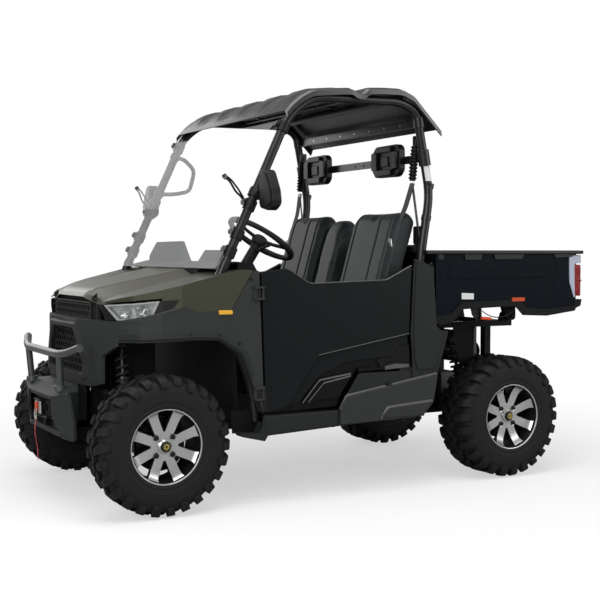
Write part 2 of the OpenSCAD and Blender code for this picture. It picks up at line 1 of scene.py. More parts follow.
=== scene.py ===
# %% [markdown]
# # A side by side utility vehicle
# The vehicle is a tube cage on a ladder frame, closed in by moulded plastic panels, with a tipping
# steel bed behind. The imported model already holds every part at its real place, so this lesson
# dresses it: each cell takes one group of parts, makes its finer shape and gives it its finish.
# Lengths in the cells are millimetres, measured from the ground and from a point that lies
# 960 mm behind the front axle, because round numbers are easier to read than packed ones. A few
# planes come back in many cells: the cage's tubes, the doors' inner face, the side walls, the belts.

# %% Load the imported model
import json
import math

import bmesh
import bpy
import numpy as np
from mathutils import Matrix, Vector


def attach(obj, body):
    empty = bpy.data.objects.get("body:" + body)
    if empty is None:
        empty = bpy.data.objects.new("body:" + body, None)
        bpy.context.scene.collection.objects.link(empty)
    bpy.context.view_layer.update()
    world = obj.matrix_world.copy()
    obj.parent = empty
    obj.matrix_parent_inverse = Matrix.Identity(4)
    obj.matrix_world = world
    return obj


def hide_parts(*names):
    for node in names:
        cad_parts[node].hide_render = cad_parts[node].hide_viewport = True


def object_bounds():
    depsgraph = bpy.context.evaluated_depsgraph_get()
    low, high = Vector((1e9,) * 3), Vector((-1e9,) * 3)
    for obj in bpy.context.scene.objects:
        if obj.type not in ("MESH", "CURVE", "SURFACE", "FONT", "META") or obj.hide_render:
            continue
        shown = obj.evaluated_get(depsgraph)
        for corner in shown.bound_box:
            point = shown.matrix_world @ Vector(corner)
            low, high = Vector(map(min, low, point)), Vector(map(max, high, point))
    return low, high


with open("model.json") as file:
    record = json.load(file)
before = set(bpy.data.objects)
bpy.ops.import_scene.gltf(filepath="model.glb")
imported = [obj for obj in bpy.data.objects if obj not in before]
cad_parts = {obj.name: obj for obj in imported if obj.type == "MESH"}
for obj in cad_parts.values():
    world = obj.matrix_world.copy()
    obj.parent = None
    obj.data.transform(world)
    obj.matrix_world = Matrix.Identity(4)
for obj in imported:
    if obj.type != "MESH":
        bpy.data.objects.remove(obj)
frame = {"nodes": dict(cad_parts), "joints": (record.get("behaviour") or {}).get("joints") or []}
cad_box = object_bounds()
joint_places = {joint["name"]: joint["pos_m"] for joint in frame["joints"]}
front_hub = joint_places["front_left_wheel_spin"]
rear_hub = joint_places["rear_left_wheel_spin"]
AXLE_X = 960.0
CAGE_Y = 627
DOOR_INNER_Y = 664
WALL_Y = 684
BELT_Y = 586
SHIFT = np.array([front_hub[0] - AXLE_X / 1000, 0.0, 0.0])

# %% [markdown]
# ## Gathering surfaces into a mesh
# A piece is often several simple surfaces: a tube with two end caps, or a panel with its ribs.
# One small class collects them as whole numpy arrays and writes the mesh once at the end. It merges
# doubled points and turns the faces outwards, so a mirrored half needs no special care.

# %% A class that collects surfaces
class Shape:
    """Points and faces of one piece, gathered in millimetres from any number of surfaces."""

    def __init__(self):
        self.points = []
        self.quads = []
        self.polygons = []
        self.count = 0

    def add(self, points, quads=(), polygons=()):
        """Adds points with their faces, whose indices start from these points."""
        points = np.asarray(points, float).reshape(-1, 3)
        if len(quads):
            self.quads.append(np.asarray(quads, int) + self.count)
        self.polygons += [[i + self.count for i in polygon] for polygon in polygons]
        self.points.append(points)
        self.count += len(points)
        return self

    def grid(self, surface, around=False, caps=False):
        """Joins neighbours of a grid of points into quads; around closes the second direction."""
        surface = np.asarray(surface, float)
        rows, columns = surface.shape[:2]
        index = np.arange(rows * columns).reshape(rows, columns)
        if around:
            index = np.hstack([index, index[:, :1]])
        quads = np.stack([index[:-1, :-1], index[1:, :-1], index[1:, 1:], index[:-1, 1:]], -1).reshape(-1, 4)
        ends = [list(range(columns)), list(range((rows - 1) * columns, rows * columns))] if caps else []
        return self.add(surface, quads, ends)

    def many(self, surfaces, around=True, caps=True):
        """Adds a stack of equal grids, such as one lug repeated round a tyre."""
        for surface in surfaces:
            self.grid(surface, around, caps)
        return self

    def plate(self, surface, thickness):
        """Thickens a grid of points inwards along its normals into a closed wall."""
        surface = np.asarray(surface, float)
        along, across = np.gradient(surface, axis=0), np.gradient(surface, axis=1)
        normal = np.cross(along, across)
        normal /= np.maximum(np.linalg.norm(normal, axis=-1, keepdims=True), 1e-9)
        return self.slab_between(surface, surface - normal * thickness)

    def slab_between(self, top, bottom):
        """Closes the space between two grids of the same size."""
        rows, columns = top.shape[:2]
        ring = np.concatenate([top, bottom[:, ::-1]], axis=1)
        index = np.arange(rows * 2 * columns).reshape(rows, 2 * columns)
        closed = np.hstack([index, index[:, :1]])
        quads = np.stack([closed[:-1, :-1], closed[1:, :-1], closed[1:, 1:], closed[:-1, 1:]],
                         -1).reshape(-1, 4)
        near, far = index[:, :columns], index[:, :columns - 1:-1]
        ends = [np.stack([near[r, :-1], near[r, 1:], far[r, 1:], far[r, :-1]], -1) for r in (0, rows - 1)]
        return self.add(ring, np.concatenate([quads, *ends]))

    def prism(self, outline, plane, start, end):
        """Draws a flat outline out along the axis that the plane leaves over, as xz leaves y."""
        outline = np.asarray(outline, float)
        axes = ["xyz".index(letter) for letter in plane]
        third = 3 - sum(axes)
        rings = np.zeros((2, len(outline), 3))
        rings[:, :, axes[0]], rings[:, :, axes[1]] = outline[:, 0], outline[:, 1]
        rings[0, :, third], rings[1, :, third] = start, end
        return self.grid(rings, around=True, caps=True)

    def pad(self, outline, radius, plane, start, end):
        """A prism whose outline has its corners rounded."""
        return self.prism(rounded_outline(outline, radius), plane, start, end)

    def block(self, low, high):
        """A box between two opposite corners."""
        (x0, y0, z0), (x1, y1, z1) = low, high
        return self.prism([(x0, y0), (x1, y0), (x1, y1), (x0, y1)], "xy", z0, z1)

    def tube(self, path, radius, up=(0, 1, 0), sides=16):
        """A circle carried along a path, kept square to it; up must never run along the path."""
        path = np.asarray(path, float)
        ahead = np.gradient(path, axis=0)
        ahead /= np.linalg.norm(ahead, axis=1, keepdims=True)
        first = np.cross(ahead, np.asarray(up, float))
        first /= np.linalg.norm(first, axis=1, keepdims=True)
        second = np.cross(ahead, first)
        turn = np.linspace(0, 2 * np.pi, sides, endpoint=False)[None, :, None]
        radius = np.broadcast_to(np.asarray(radius, float), len(path))[:, None, None]
        ring = path[:, None] + radius * (np.cos(turn) * first[:, None] + np.sin(turn) * second[:, None])
        return self.grid(ring, around=True, caps=True)

    def lathe(self, profile, centre, axis=(0, 1, 0), steps=96, closed=True):
        """Turns a profile of (radius, distance along the axis) about the axis through the centre."""
        profile = np.asarray(profile, float)
        axis = np.asarray(axis, float) / np.linalg.norm(axis)
        side = np.cross(axis, (0, 0, 1) if abs(axis[2]) < 0.9 else (1, 0, 0))
        side /= np.linalg.norm(side)
        other = np.cross(axis, side)
        turn = np.linspace(0, 2 * np.pi, steps, endpoint=False)[None, :, None]
        circle = np.cos(turn) * side + np.sin(turn) * other
        ring = np.asarray(centre, float) + profile[:, None, :1] * circle + profile[:, None, 1:] * axis
        if closed:
            ring = np.concatenate([ring, ring[:1]])
        return self.grid(ring, around=True, caps=not closed)

    def ribbon(self, line, across, half_thick):
        """A thin strap whose two edges run beside a line, half of its thickness to each side."""
        surface = np.stack([line - across, line + across], 1)
        return self.slab_between(surface + half_thick, surface - half_thick)

    def mirrored(self):
        """Adds the same surfaces again on the right side."""
        points = np.concatenate(self.points) * (1, -1, 1)
        quads = np.concatenate(self.quads) if self.quads else ()
        return self.add(points, quads, list(self.polygons))

    def make(self, name, finish, body, replaces=(), bevel=0.0, sides="both", slot=None, sharp=35):
        """Writes the mesh, turns its faces outwards, and lets it ride on its body."""
        if sides == "both":
            self.mirrored()
        elif sides == "right":
            self.points = [points * (1, -1, 1) for points in self.points]
        mesh = bpy.data.meshes.new(name)
        faces = [list(map(int, q)) for q in np.concatenate(self.quads)] if self.quads else []
        mesh.from_pydata((np.concatenate(self.points) / 1000 + SHIFT).tolist(), [], faces + self.polygons)
        work = bmesh.new()
        work.from_mesh(mesh)
        bmesh.ops.remove_doubles(work, verts=work.verts, dist=1e-6)
        bmesh.ops.dissolve_degenerate(work, edges=work.edges, dist=1e-7)
        bmesh.ops.recalc_face_normals(work, faces=work.faces)
        work.to_mesh(mesh)
        work.free()
        mesh.shade_smooth()
        mesh.set_sharp_from_angle(angle=math.radians(sharp))
        piece = bpy.data.objects.new(name, mesh)
        bpy.context.scene.collection.objects.link(piece)
        mesh.materials.append(finish)
        if bevel:
            soften(piece, bevel)
        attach(piece, body)
        if replaces:
            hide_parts(*replaces)
        made.append((name, len(mesh.polygons)))
        return piece


made = []


def soften(piece, width, weld=False):
    """Rounds the edges of a piece with a bevel that leaves flat faces flat."""
    if weld:
        merge = piece.modifiers.new("merge", "WELD")
        merge.merge_threshold = 0.00002
    bevel = piece.modifiers.new("edges", "BEVEL")
    bevel.width = width / 1000
    bevel.segments = 2
    bevel.limit_method = "ANGLE"
    bevel.angle_limit = math.radians(32)
    bevel.harden_normals = not weld
    bevel.miter_outer = "MITER_ARC"


# %% Helpers for paths and outlines
def rounded(points, radius, steps=6):
    """Replaces each inner corner of a line by an arc-like curve that starts radius before it."""
    points = np.asarray(points, float)
    line = [points[:1]]
    share = np.linspace(0, 1, steps)[:, None]
    for before, corner, after in zip(points[:-2], points[1:-1], points[2:]):
        reach = min(radius, np.linalg.norm(before - corner) * 0.45, np.linalg.norm(after - corner) * 0.45)
        start = corner + (before - corner) / np.linalg.norm(before - corner) * reach
        end = corner + (after - corner) / np.linalg.norm(after - corner) * reach
        line.append((1 - share) ** 2 * start + 2 * share * (1 - share) * corner + share ** 2 * end)
    line.append(points[-1:])
    return np.concatenate(line)


def rounded_outline(points, radius, steps=5):
    """The same rounding for a closed outline."""
    points = np.asarray(points, float)
    middle = (points[0] + points[-1]) / 2
    return rounded(np.concatenate([[middle], points, [middle]]), radius, steps)[:-1]


def inset(outline, distance):
    """Moves each side of a closed outline inwards by the same distance."""
    outline = np.asarray(outline, float)
    after = np.roll(outline, -1, 0) - outline
    normal = np.stack([-after[:, 1], after[:, 0]], 1) / np.linalg.norm(after, axis=1, keepdims=True)
    x, y = outline.T
    turn = np.sign(np.sum(x * np.roll(y, -1) - np.roll(x, -1) * y))
    normal *= turn
    before = np.roll(normal, 1, 0)
    corner = normal + before
    corner /= np.maximum(np.sum(corner * normal, 1, keepdims=True), 0.3)
    return outline + corner * distance


def resample(path, count):
    """Places count points at even steps along a line."""
    path = np.asarray(path, float)
    steps = np.concatenate([[0], np.cumsum(np.linalg.norm(np.diff(path, axis=0), axis=1))])
    wanted = np.linspace(0, steps[-1], count)
    return np.stack([np.interp(wanted, steps, path[:, k]) for k in range(path.shape[1])], 1)

# %% [markdown]
# ## Writing shader maths as sentences
# A finish is a small sum over noises, and sums are easier to read as `a * b + c` than as a web of
# nodes. The class below wraps one socket and adds a Math node for each operator. Everything reads
# Object coordinates, which stay with the part when its body moves.

# %% A socket that understands arithmetic
class Value:
    """One output socket of a node tree, with arithmetic."""

    def __init__(self, tree, socket):
        self.tree = tree
        self.socket = socket

    def maths(self, operation, *others):
        """Adds one Math node that takes this value and the others."""
        node = self.tree.nodes.new("ShaderNodeMath")
        node.operation = operation
        for slot, value in zip(node.inputs, (self, *others)):
            plug(self.tree, value, slot)
        return Value(self.tree, node.outputs[0])

    def __add__(self, other):
        return self.maths("ADD", other)

    def __sub__(self, other):
        return self.maths("SUBTRACT", other)

    def __mul__(self, other):
        return self.maths("MULTIPLY", other)

    def __rsub__(self, other):
        return (self * -1) + other

    __radd__ = __add__
    __rmul__ = __mul__

    def above(self, edge, soft):
        """A mask that rises from 0 to 1 as the value passes the edge."""
        node = self.tree.nodes.new("ShaderNodeMapRange")
        node.interpolation_type = "SMOOTHSTEP"
        plug(self.tree, self, node.inputs["Value"])
        node.inputs["From Min"].default_value = edge - soft
        node.inputs["From Max"].default_value = edge + soft
        return Value(self.tree, node.outputs["Result"])


def plug(tree, value, socket):
    """Links a value to a socket, or sets the socket when the value is a plain number."""
    if isinstance(value, Value):
        tree.links.new(value.socket, socket)
    else:
        socket.default_value = value


class Finish:
    """A material under construction, with its Principled shader."""

    def __init__(self, name, **settings):
        self.material = bpy.data.materials.new(name)
        self.material.use_nodes = True
        self.tree = self.material.node_tree
        self.shader = self.tree.nodes["Principled BSDF"]
        for socket, value in settings.items():
            self.set(socket.replace("_", " "), value)

    def set(self, socket, value):
        """Gives one socket of the shader a value or a plain number."""
        plug(self.tree, value, self.shader.inputs[socket])
        return self

    def node(self, kind, settings=None, output=0, **inputs):
        """Any other node: its settings first, then the values or links of its sockets."""
        node = self.tree.nodes.new(kind)
        for key, value in (settings or {}).items():
            setattr(node, key, value)
        for key, value in inputs.items():
            plug(self.tree, value, node.inputs[key.replace("_", " ")])
        return Value(self.tree, node.outputs[output])

    def place(self, centre=(0, 0, 0)):
        """Object coordinates, moved so that a centre is at zero."""
        where = self.node("ShaderNodeTexCoord", output="Object")
        return self.node("ShaderNodeMapping", Vector=where, Location=[-c for c in centre])

    def noise(self, scale, detail=3.0):
        """Soft noise from 0 to 1; a larger scale makes smaller spots."""
        return self.node("ShaderNodeTexNoise", Vector=self.place(), Scale=scale, Detail=detail)

    def cells(self, scale):
        """The distance to the nearest of many scattered points, which looks like pebbles."""
        return self.node("ShaderNodeTexVoronoi", {"feature": "F1"}, Vector=self.place(), Scale=scale)

    def mix(self, factor, first, second):
        """A colour between two colours."""
        node = self.tree.nodes.new("ShaderNodeMix")
        node.data_type = "RGBA"
        for name, value in (("Factor_Float", factor), ("A_Color", first), ("B_Color", second)):
            socket = next(s for s in node.inputs if s.identifier == name)
            plug(self.tree, (*value, 1) if isinstance(value, tuple) and len(value) == 3 else value, socket)
        return Value(self.tree, next(s for s in node.outputs if s.identifier == "Result_Color"))

    def colour(self, factor, first, second):
        """Makes the base colour run between two colours."""
        return self.set("Base Color", self.mix(factor, first, second))

    def bump(self, height, strength=0.3, distance=0.001):
        """Tilts the surface by a height, given as a value from 0 to 1."""
        node = self.tree.nodes.new("ShaderNodeBump")
        node.inputs["Strength"].default_value = strength
        node.inputs["Distance"].default_value = distance
        plug(self.tree, height, node.inputs["Height"])
        return self.set("Normal", Value(self.tree, node.outputs["Normal"]))


# %% [markdown]
# ## The finishes
# Moulded panels are dark plastic with a fine leather-like grain that breaks up the light. The doors
# and the bed are painted: smoother, with a slight cast of blue. The hood and cowls carry one olive
# metallic paint whose flakes vary the tone a little; the hood's copy is lighter and greyer, a painted
# reflection of the pale sky on its upward faces. Each of them is one base colour moved a few
# per cent by a slow noise, because large parts are never perfectly even, plus its own fine bump.

# %% Paints and plastics
TONE_SPREAD = 0.25
GRAIN_SCALE = 900


def scaled(colour, factor):
    """A lighter or darker tone of a colour, kept under full white."""
    return tuple(min(1, channel * factor) for channel in colour)


def plastic(name, colour, roughness=0.55, grain=0.35, lift=1.35, shine=0.25):
    """Moulded plastic with a fine grain and a slow change of tone."""
    finish = Finish(name)
    slow = finish.noise(3.5, 4)
    finish.colour(slow * TONE_SPREAD + (0.5 - TONE_SPREAD / 2), colour, scaled(colour, lift))
    fine = finish.cells(GRAIN_SCALE)
    finish.set("Roughness", slow * 0.12 + (roughness - 0.06))
    finish.set("Specular IOR Level", shine)
    return finish.bump(fine, grain, 0.0004).material


def paint(name, colour, metallic=0.35, roughness=0.38, flake=0.12, coat=0.25, lift=1.5, shine=0.4):
    """Metallic paint: fine flakes vary the tone under a thin clear coat with a faint ripple."""
    finish = Finish(name, Metallic=metallic)
    slow, fleck = finish.noise(2.2, 3), finish.noise(1400, 1)
    finish.colour(slow * 0.5 + fleck * flake, colour, scaled(colour, lift))
    finish.set("Roughness", fleck * 0.08 + slow * 0.06 + (roughness - 0.07))
    finish.set("Coat Weight", coat)
    finish.set("Specular IOR Level", shine)
    finish.set("Coat Roughness", 0.22)
    return finish.bump(finish.noise(160, 2), 0.05, 0.0006).material


grained = plastic("grained_black_plastic", (0.021, 0.0235, 0.0215), 0.56)
grained_low = plastic("grained_low_panels", (0.0125, 0.0145, 0.0138), 0.56, shine=0.2)
# The paler plastic of the edge strips is painted highlight: it stands in for light caught along chamfers and
# lips.
painted_highlight_plastic = plastic("panel_edges_painted_highlight", (0.055, 0.058, 0.055), 0.4, shine=0.5)
grained_dark = plastic("grained_deep_black_plastic", (0.007, 0.007, 0.0075), 0.6, shine=0.12)
smooth_black = plastic("smooth_black_plastic", (0.006, 0.006, 0.0065), 0.36, 0.12)
roof_black = plastic("roof_black_plastic", (0.012, 0.0128, 0.0128), 0.28, 0.15, shine=0.75)
roof_inside = plastic("roof_underside", (0.062, 0.062, 0.053), 0.36, 0.2)
tub_black = plastic("cab_tub_plastic", (0.009, 0.009, 0.0095), 0.62, shine=0.15)
# The hood and the cowls carry one olive paint: the hood's copy is lighter and greyer, a painted reflection
# of the pale sky on its upward faces, and the cowls' copy is the darker olive that the side faces show.
hood_paint_with_painted_reflection = paint("hood_olive_painted_sky_reflection", (0.074, 0.072, 0.054), 0.5, 0.42)
cowl_paint = paint("cowl_olive", (0.044, 0.045, 0.028), 0.4, 0.4)
door_paint = paint("door_deep_navy", (0.0062, 0.0075, 0.0082), 0.2, 0.42, coat=0.06, shine=0.12)
# The lower door's darker black is partly its own colour and partly painted shade for the dimmer reflection
# low on the door.
door_low = paint("door_lower_black", (0.0042, 0.0046, 0.0042), 0.2, 0.46, coat=0.04, shine=0.12)
bed_paint = paint("bed_navy", (0.0028, 0.0046, 0.007), 0.2, 0.5, coat=0.02, shine=0.06)
tube_paint = paint("cage_gloss_black", (0.01, 0.0105, 0.0105), 0.2, 0.3, 0.05, 0.2, shine=0.4)
frame_paint = paint("frame_satin_black", (0.006, 0.006, 0.0065), 0.2, 0.5, 0.05, 0.0, shine=0.2)
bar_paint = paint("bumper_grey", (0.052, 0.057, 0.053), 0.3, 0.42)
plate_paint = plastic("bumper_shell_grey", (0.017, 0.02, 0.019), 0.5)
hook_paint = paint("hook_red_orange", (0.5, 0.06, 0.02), 0.1, 0.45, coat=0.1)
release_orange = plastic("release_orange", (0.6, 0.075, 0.02), 0.4, 0.1)
label_white = plastic("blank_label", (0.66, 0.66, 0.65), 0.5, 0.05, lift=1.1)
print("paints and plastics are ready")


# %% [markdown]
# Rubber, metal, glass, vinyl and webbing each need one idea of their own. A tyre is dull and a
# little dusty in its grooves. A machined face has fine rings from the lathe, so its roughness is a
# noise read along the radius. Vinyl has a pebbled grain, and webbing a woven rib.

# %% Rubber, metal, glass and cloth
def rubber(name, colour=(0.005, 0.0053, 0.005), roughness=0.64):
    """Dull rubber with soft blotches and a pitted grain."""
    finish = Finish(name)
    slow, fine = finish.noise(9, 5), finish.noise(420, 3)
    finish.colour(slow, colour, scaled(colour, 1.9))
    finish.set("Roughness", slow * 0.2 + (roughness - 0.1))
    finish.set("Specular IOR Level", 0.25)
    return finish.bump(fine + slow * 0.6, 0.25, 0.0008).material


def machined(name, hub, colour=(0.62, 0.63, 0.62), roughness=0.3):
    """Turned aluminium: fine rings about the wheel's axle."""
    finish = Finish(name, Metallic=0.9)
    where = finish.place(centre=hub)
    parts = finish.node("ShaderNodeSeparateXYZ", Vector=where)
    x, z = parts, Value(finish.tree, parts.socket.node.outputs["Z"])
    radius = (x * x + z * z).maths("SQRT")
    rings = finish.node("ShaderNodeTexNoise", {"noise_dimensions": "1D"}, W=radius, Scale=900.0,
                        Detail=2.0)
    slow = finish.noise(14, 3)
    finish.colour(slow * 0.6 + rings * 0.3, scaled(colour, 0.78), colour)
    finish.set("Roughness", rings * 0.16 + slow * 0.08 + (roughness - 0.12))
    return finish.bump(rings, 0.1, 0.0003).material


def metal(name, colour, roughness=0.3, metallic=1.0):
    """Plain metal with faint handling marks."""
    finish = Finish(name, Metallic=metallic)
    slow, fine = finish.noise(30, 4), finish.noise(240, 2)
    finish.colour(slow, scaled(colour, 0.8), colour)
    finish.set("Roughness", slow * 0.15 + (roughness - 0.07))
    return finish.bump(fine, 0.08, 0.0004).material


def clear(name, tint, alpha, roughness=0.04):
    """Clear sheet: nearly see-through, with the gloss of a hard plastic."""
    finish = Finish(name)
    dust = finish.noise(5, 5)
    finish.colour(dust, tint, scaled(tint, 1.06))
    finish.set("Alpha", dust * 0.04 + (alpha - 0.02))
    finish.set("Roughness", dust * 0.04 + roughness)
    return finish.material


def vinyl(name, colour):
    """Seat vinyl: pebbled grain, a little sheen, and a slow change of tone."""
    finish = Finish(name)
    pebbles, slow = finish.cells(620), finish.noise(5, 3)
    finish.colour(slow * 0.7 + pebbles * 0.3, colour, scaled(colour, 1.5))
    finish.set("Roughness", pebbles * 0.2 + 0.38)
    finish.set("Sheen Weight", 0.06)
    finish.set("Specular IOR Level", 0.3)
    return finish.bump(pebbles, 0.3, 0.0006).material


def webbing(name, colour):
    """Woven strap: ribs across the weave, read as a fine wave."""
    finish = Finish(name)
    ribs = finish.node("ShaderNodeTexWave", {"wave_type": "BANDS", "bands_direction": "Z"},
                       Vector=finish.place(), Scale=190.0, Distortion=0.6)
    finish.colour(ribs, colour, scaled(colour, 2.2))
    finish.set("Roughness", ribs * 0.2 + 0.62)
    finish.set("Sheen Weight", 0.2)
    return finish.bump(ribs, 0.5, 0.0008).material


def lens(name, colour, alpha=0.85, roughness=0.12):
    """Moulded lamp lens with fine prisms behind a glossy face."""
    finish = Finish(name)
    prisms = finish.node("ShaderNodeTexWave", {"bands_direction": "Z"}, Vector=finish.place(), Scale=55.0)
    finish.colour(prisms, scaled(colour, 0.6), colour)
    finish.set("Alpha", prisms * 0.1 + (alpha - 0.05))
    finish.set("Roughness", prisms * 0.08 + roughness)
    finish.set("Specular IOR Level", 0.25)
    return finish.bump(prisms, 0.2, 0.0008).material


tyre_rubber = rubber("tyre_rubber")
soft_rubber = rubber("soft_black_rubber", (0.009, 0.009, 0.01), 0.62)
front_metal = machined("machined_front_rims", front_hub)
rear_metal = machined("machined_rear_rims", rear_hub)
bright_steel = metal("bright_steel", (0.55, 0.55, 0.54), 0.28)
dark_steel = metal("dark_steel", (0.09, 0.09, 0.092), 0.42)
cast_metal = metal("cast_grey_metal", (0.16, 0.16, 0.165), 0.6, 0.7)
spring_black = metal("spring_black", (0.05, 0.05, 0.052), 0.35, 0.4)
reflector = metal("lamp_reflector", (0.5, 0.51, 0.49), 0.14)
brass = metal("cap_brass", (0.45, 0.36, 0.12), 0.35, 0.8)
screen_clear = clear("windscreen_clear", (0.84, 0.87, 0.86), 0.1)
lamp_clear = clear("lamp_cover", (0.86, 0.9, 0.92), 0.07)
mirror_glass = metal("mirror_glass", (0.6, 0.62, 0.64), 0.08)
seat_vinyl = vinyl("seat_vinyl", (0.0115, 0.0155, 0.0155))
belt_web = webbing("belt_webbing", (0.012, 0.012, 0.013))
strap_red = webbing("hook_strap_red", (0.35, 0.012, 0.012))
lens_amber = lens("lens_amber", (0.95, 0.52, 0.06), 1.0)
lens_red = lens("lens_red", (0.3, 0.0025, 0.006), 1.0)
lens_orange = lens("lens_orange", (0.65, 0.09, 0.03), 1.0)
lens_pale = lens("lens_pale", (0.5, 0.54, 0.66), 1.0, 0.25)
lamp_frame = lens("lamp_frame", (0.42, 0.44, 0.41), 1.0, 0.2)
print("materials:", len(bpy.data.materials))

# %% [markdown]
# ## Camera, light and floor
# The view is a three-quarter one from the front left, at about eye height and from six metres, with
# a long lens. Large soft lamps from above and from the camera's side give the even light of a
# studio. The pale backdrop is only what the camera and reflections see of the world, so it adds no
# light of its own.

# %% Camera
camera = bpy.data.objects.new("camera", bpy.data.cameras.new("camera"))
bpy.context.scene.collection.objects.link(camera)
camera.data.sensor_width = 36.0
camera.data.lens = 67.8
camera.location = SHIFT + (2.808, 5.297, 1.171)
camera.rotation_euler = (math.radians(87.58), 0.0, math.radians(151.33))
bpy.context.scene.camera = camera
print("camera at", tuple(round(c, 3) for c in camera.location))


# %% Lamps and world
def soft_lamp(name, place, target, size, power):
    """A square area lamp that looks at a target."""
    lamp = bpy.data.lights.new(name, "AREA")
    lamp.shape = "SQUARE"
    lamp.size = size
    lamp.energy = power
    holder = bpy.data.objects.new(name, lamp)
    bpy.context.scene.collection.objects.link(holder)
    holder.location = place
    aim = np.subtract(target, place)
    fall = math.atan2(np.hypot(aim[0], aim[1]), -aim[2])
    holder.rotation_euler = (fall, 0, math.atan2(aim[1], aim[0]) - math.pi / 2)


middle = [(low + high) / 2 for low, high in zip(*cad_box)]
soft_lamp("lamp_above", (1.0, 1.5, 5.2), middle, 4.5, 210)
soft_lamp("lamp_front_left", (4.6, 3.8, 2.6), middle, 3.0, 130)
soft_lamp("lamp_rear_left", (-4.0, 4.4, 2.6), middle, 3.0, 90)
soft_lamp("lamp_right", (1.5, -5.0, 3.0), middle, 3.0, 60)

world = bpy.data.worlds.new("studio")
world.use_nodes = True
bpy.context.scene.world = world
tree = world.node_tree
sky = tree.nodes["Background"]
sky.inputs["Color"].default_value = (1, 1, 1, 1)
rays = tree.nodes.new("ShaderNodeLightPath")
refracted = Value(tree, rays.outputs["Is Transmission Ray"])
seen = Value(tree, rays.outputs["Is Camera Ray"]).maths("MAXIMUM", refracted)
plug(tree, seen * 0.65 + 0.35, sky.inputs["Strength"])
bpy.context.scene.view_settings.view_transform = "Standard"


# %% Floor
floor_mesh = bpy.data.meshes.new("floor")
reach = 14.0
floor_mesh.from_pydata([(-reach, -reach, 0), (reach, -reach, 0), (reach, reach, 0), (-reach, reach, 0)], [],
                       [(0, 1, 2, 3)])
floor_piece = bpy.data.objects.new("floor", floor_mesh)
bpy.context.scene.collection.objects.link(floor_piece)
floor_finish = Finish("pale_floor", Roughness=0.85)
sight = floor_finish.node("ShaderNodeLightPath", output="Is Camera Ray")
floor_tone = floor_finish.mix(floor_finish.noise(1.5, 2), (0.86, 0.86, 0.86), (0.89, 0.89, 0.89))
floor_finish.set("Base Color", floor_finish.mix(sight, (0.42, 0.42, 0.42), floor_tone))
glow = floor_finish.tree.nodes.new("ShaderNodeEmission")
blend = floor_finish.tree.nodes.new("ShaderNodeMixShader")
distance = floor_finish.node("ShaderNodeVectorMath", {"operation": "LENGTH"}, output="Value",
                             Vector=floor_finish.place())
plug(floor_finish.tree, sight * (distance.above(2.6, 1.3) * 0.45 + 0.55), blend.inputs["Fac"])
plug(floor_finish.tree, Value(floor_finish.tree, floor_finish.shader.outputs[0]), blend.inputs[1])
plug(floor_finish.tree, Value(floor_finish.tree, glow.outputs[0]), blend.inputs[2])
output = next(n for n in floor_finish.tree.nodes if n.type == "OUTPUT_MATERIAL")
plug(floor_finish.tree, Value(floor_finish.tree, blend.outputs[0]), output.inputs["Surface"])
floor_mesh.materials.append(floor_finish.material)
print("lamps, world and floor are ready")

# %% [markdown]
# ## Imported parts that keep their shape
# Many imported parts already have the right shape: brackets, rails, the seat box, the frame. They get
# their finish and a narrow bevel, since no moulded or folded edge is perfectly sharp, and a bright
# line along an edge is what tells the eye how thick a panel is.

# %% Finish and edge width of each kept part
kept = {
    "main_frame": (frame_paint, 3), "skid_plate": (frame_paint, 2), "hitch_tube": (frame_paint, 1.5),
    "suspension_arms": (frame_paint, 0), "floor_tub": (tub_black, 3), "seat_box": (tub_black, 5),
    "dashboard": (tub_black, 3), "side_cowls": (cowl_paint, 4), "front_fenders": (grained, 3),
    "front_fascia": (grained, 3), "rocker_panels": (grained_low, 3), "rear_side_panels": (grained_low, 3),
    "winch": (grained_dark, 2), "windscreen_lower": (screen_clear, 1), "windscreen_upper": (screen_clear, 1),
    "steering_column": (smooth_black, 1), "front_left_knuckle": (cast_metal, 1.5),
    "front_right_knuckle": (cast_metal, 1.5), "engine_block": (cast_metal, 6), "driveline": (cast_metal, 3),
    "muffler": (dark_steel, 4),
}
for node, (finish, edge) in kept.items():
    part = frame["nodes"][node]
    part.data.materials.clear()
    part.data.materials.append(finish)
    if edge:
        soften(part, edge, weld=True)
print("dressed", len(kept), "packed parts")

# %% [markdown]
# ## Tyres
# An off-road tyre is a smooth round casing with separate rubber lugs on it. The lugs could be cut
# into one dense surface, but real lugs are blocks with flat tops, so each is a short bar whose path
# runs over the casing: across the crown, round the shoulder and a little way down the side wall.
# One lug is worked out once and turned round the axle as a whole array.

# %% The casing and its lugs
TYRE_R = 317.5
TYRE_OUTER_Y = 713.0
LUG_PAIRS = 13
FOOT_SPREAD = 3
TOP_DRAW = 1.5


def tyre_profile(width):
    """The casing's outer line from bead to bead as (radius, distance from the outer face)."""
    half = [(163, 12), (170, 6), (184, 3), (190, 6), (196, 2.5), (204, 2.5), (207, 0.8), (212, 2), (240, 2),
            (264, 6), (284, 17), (294, 36)]
    line = half + [(296, width * 0.33), (297, width / 2)]
    line += [(radius, width - depth) for radius, depth in line[-2::-1]]
    return rounded(line, 14, 5)


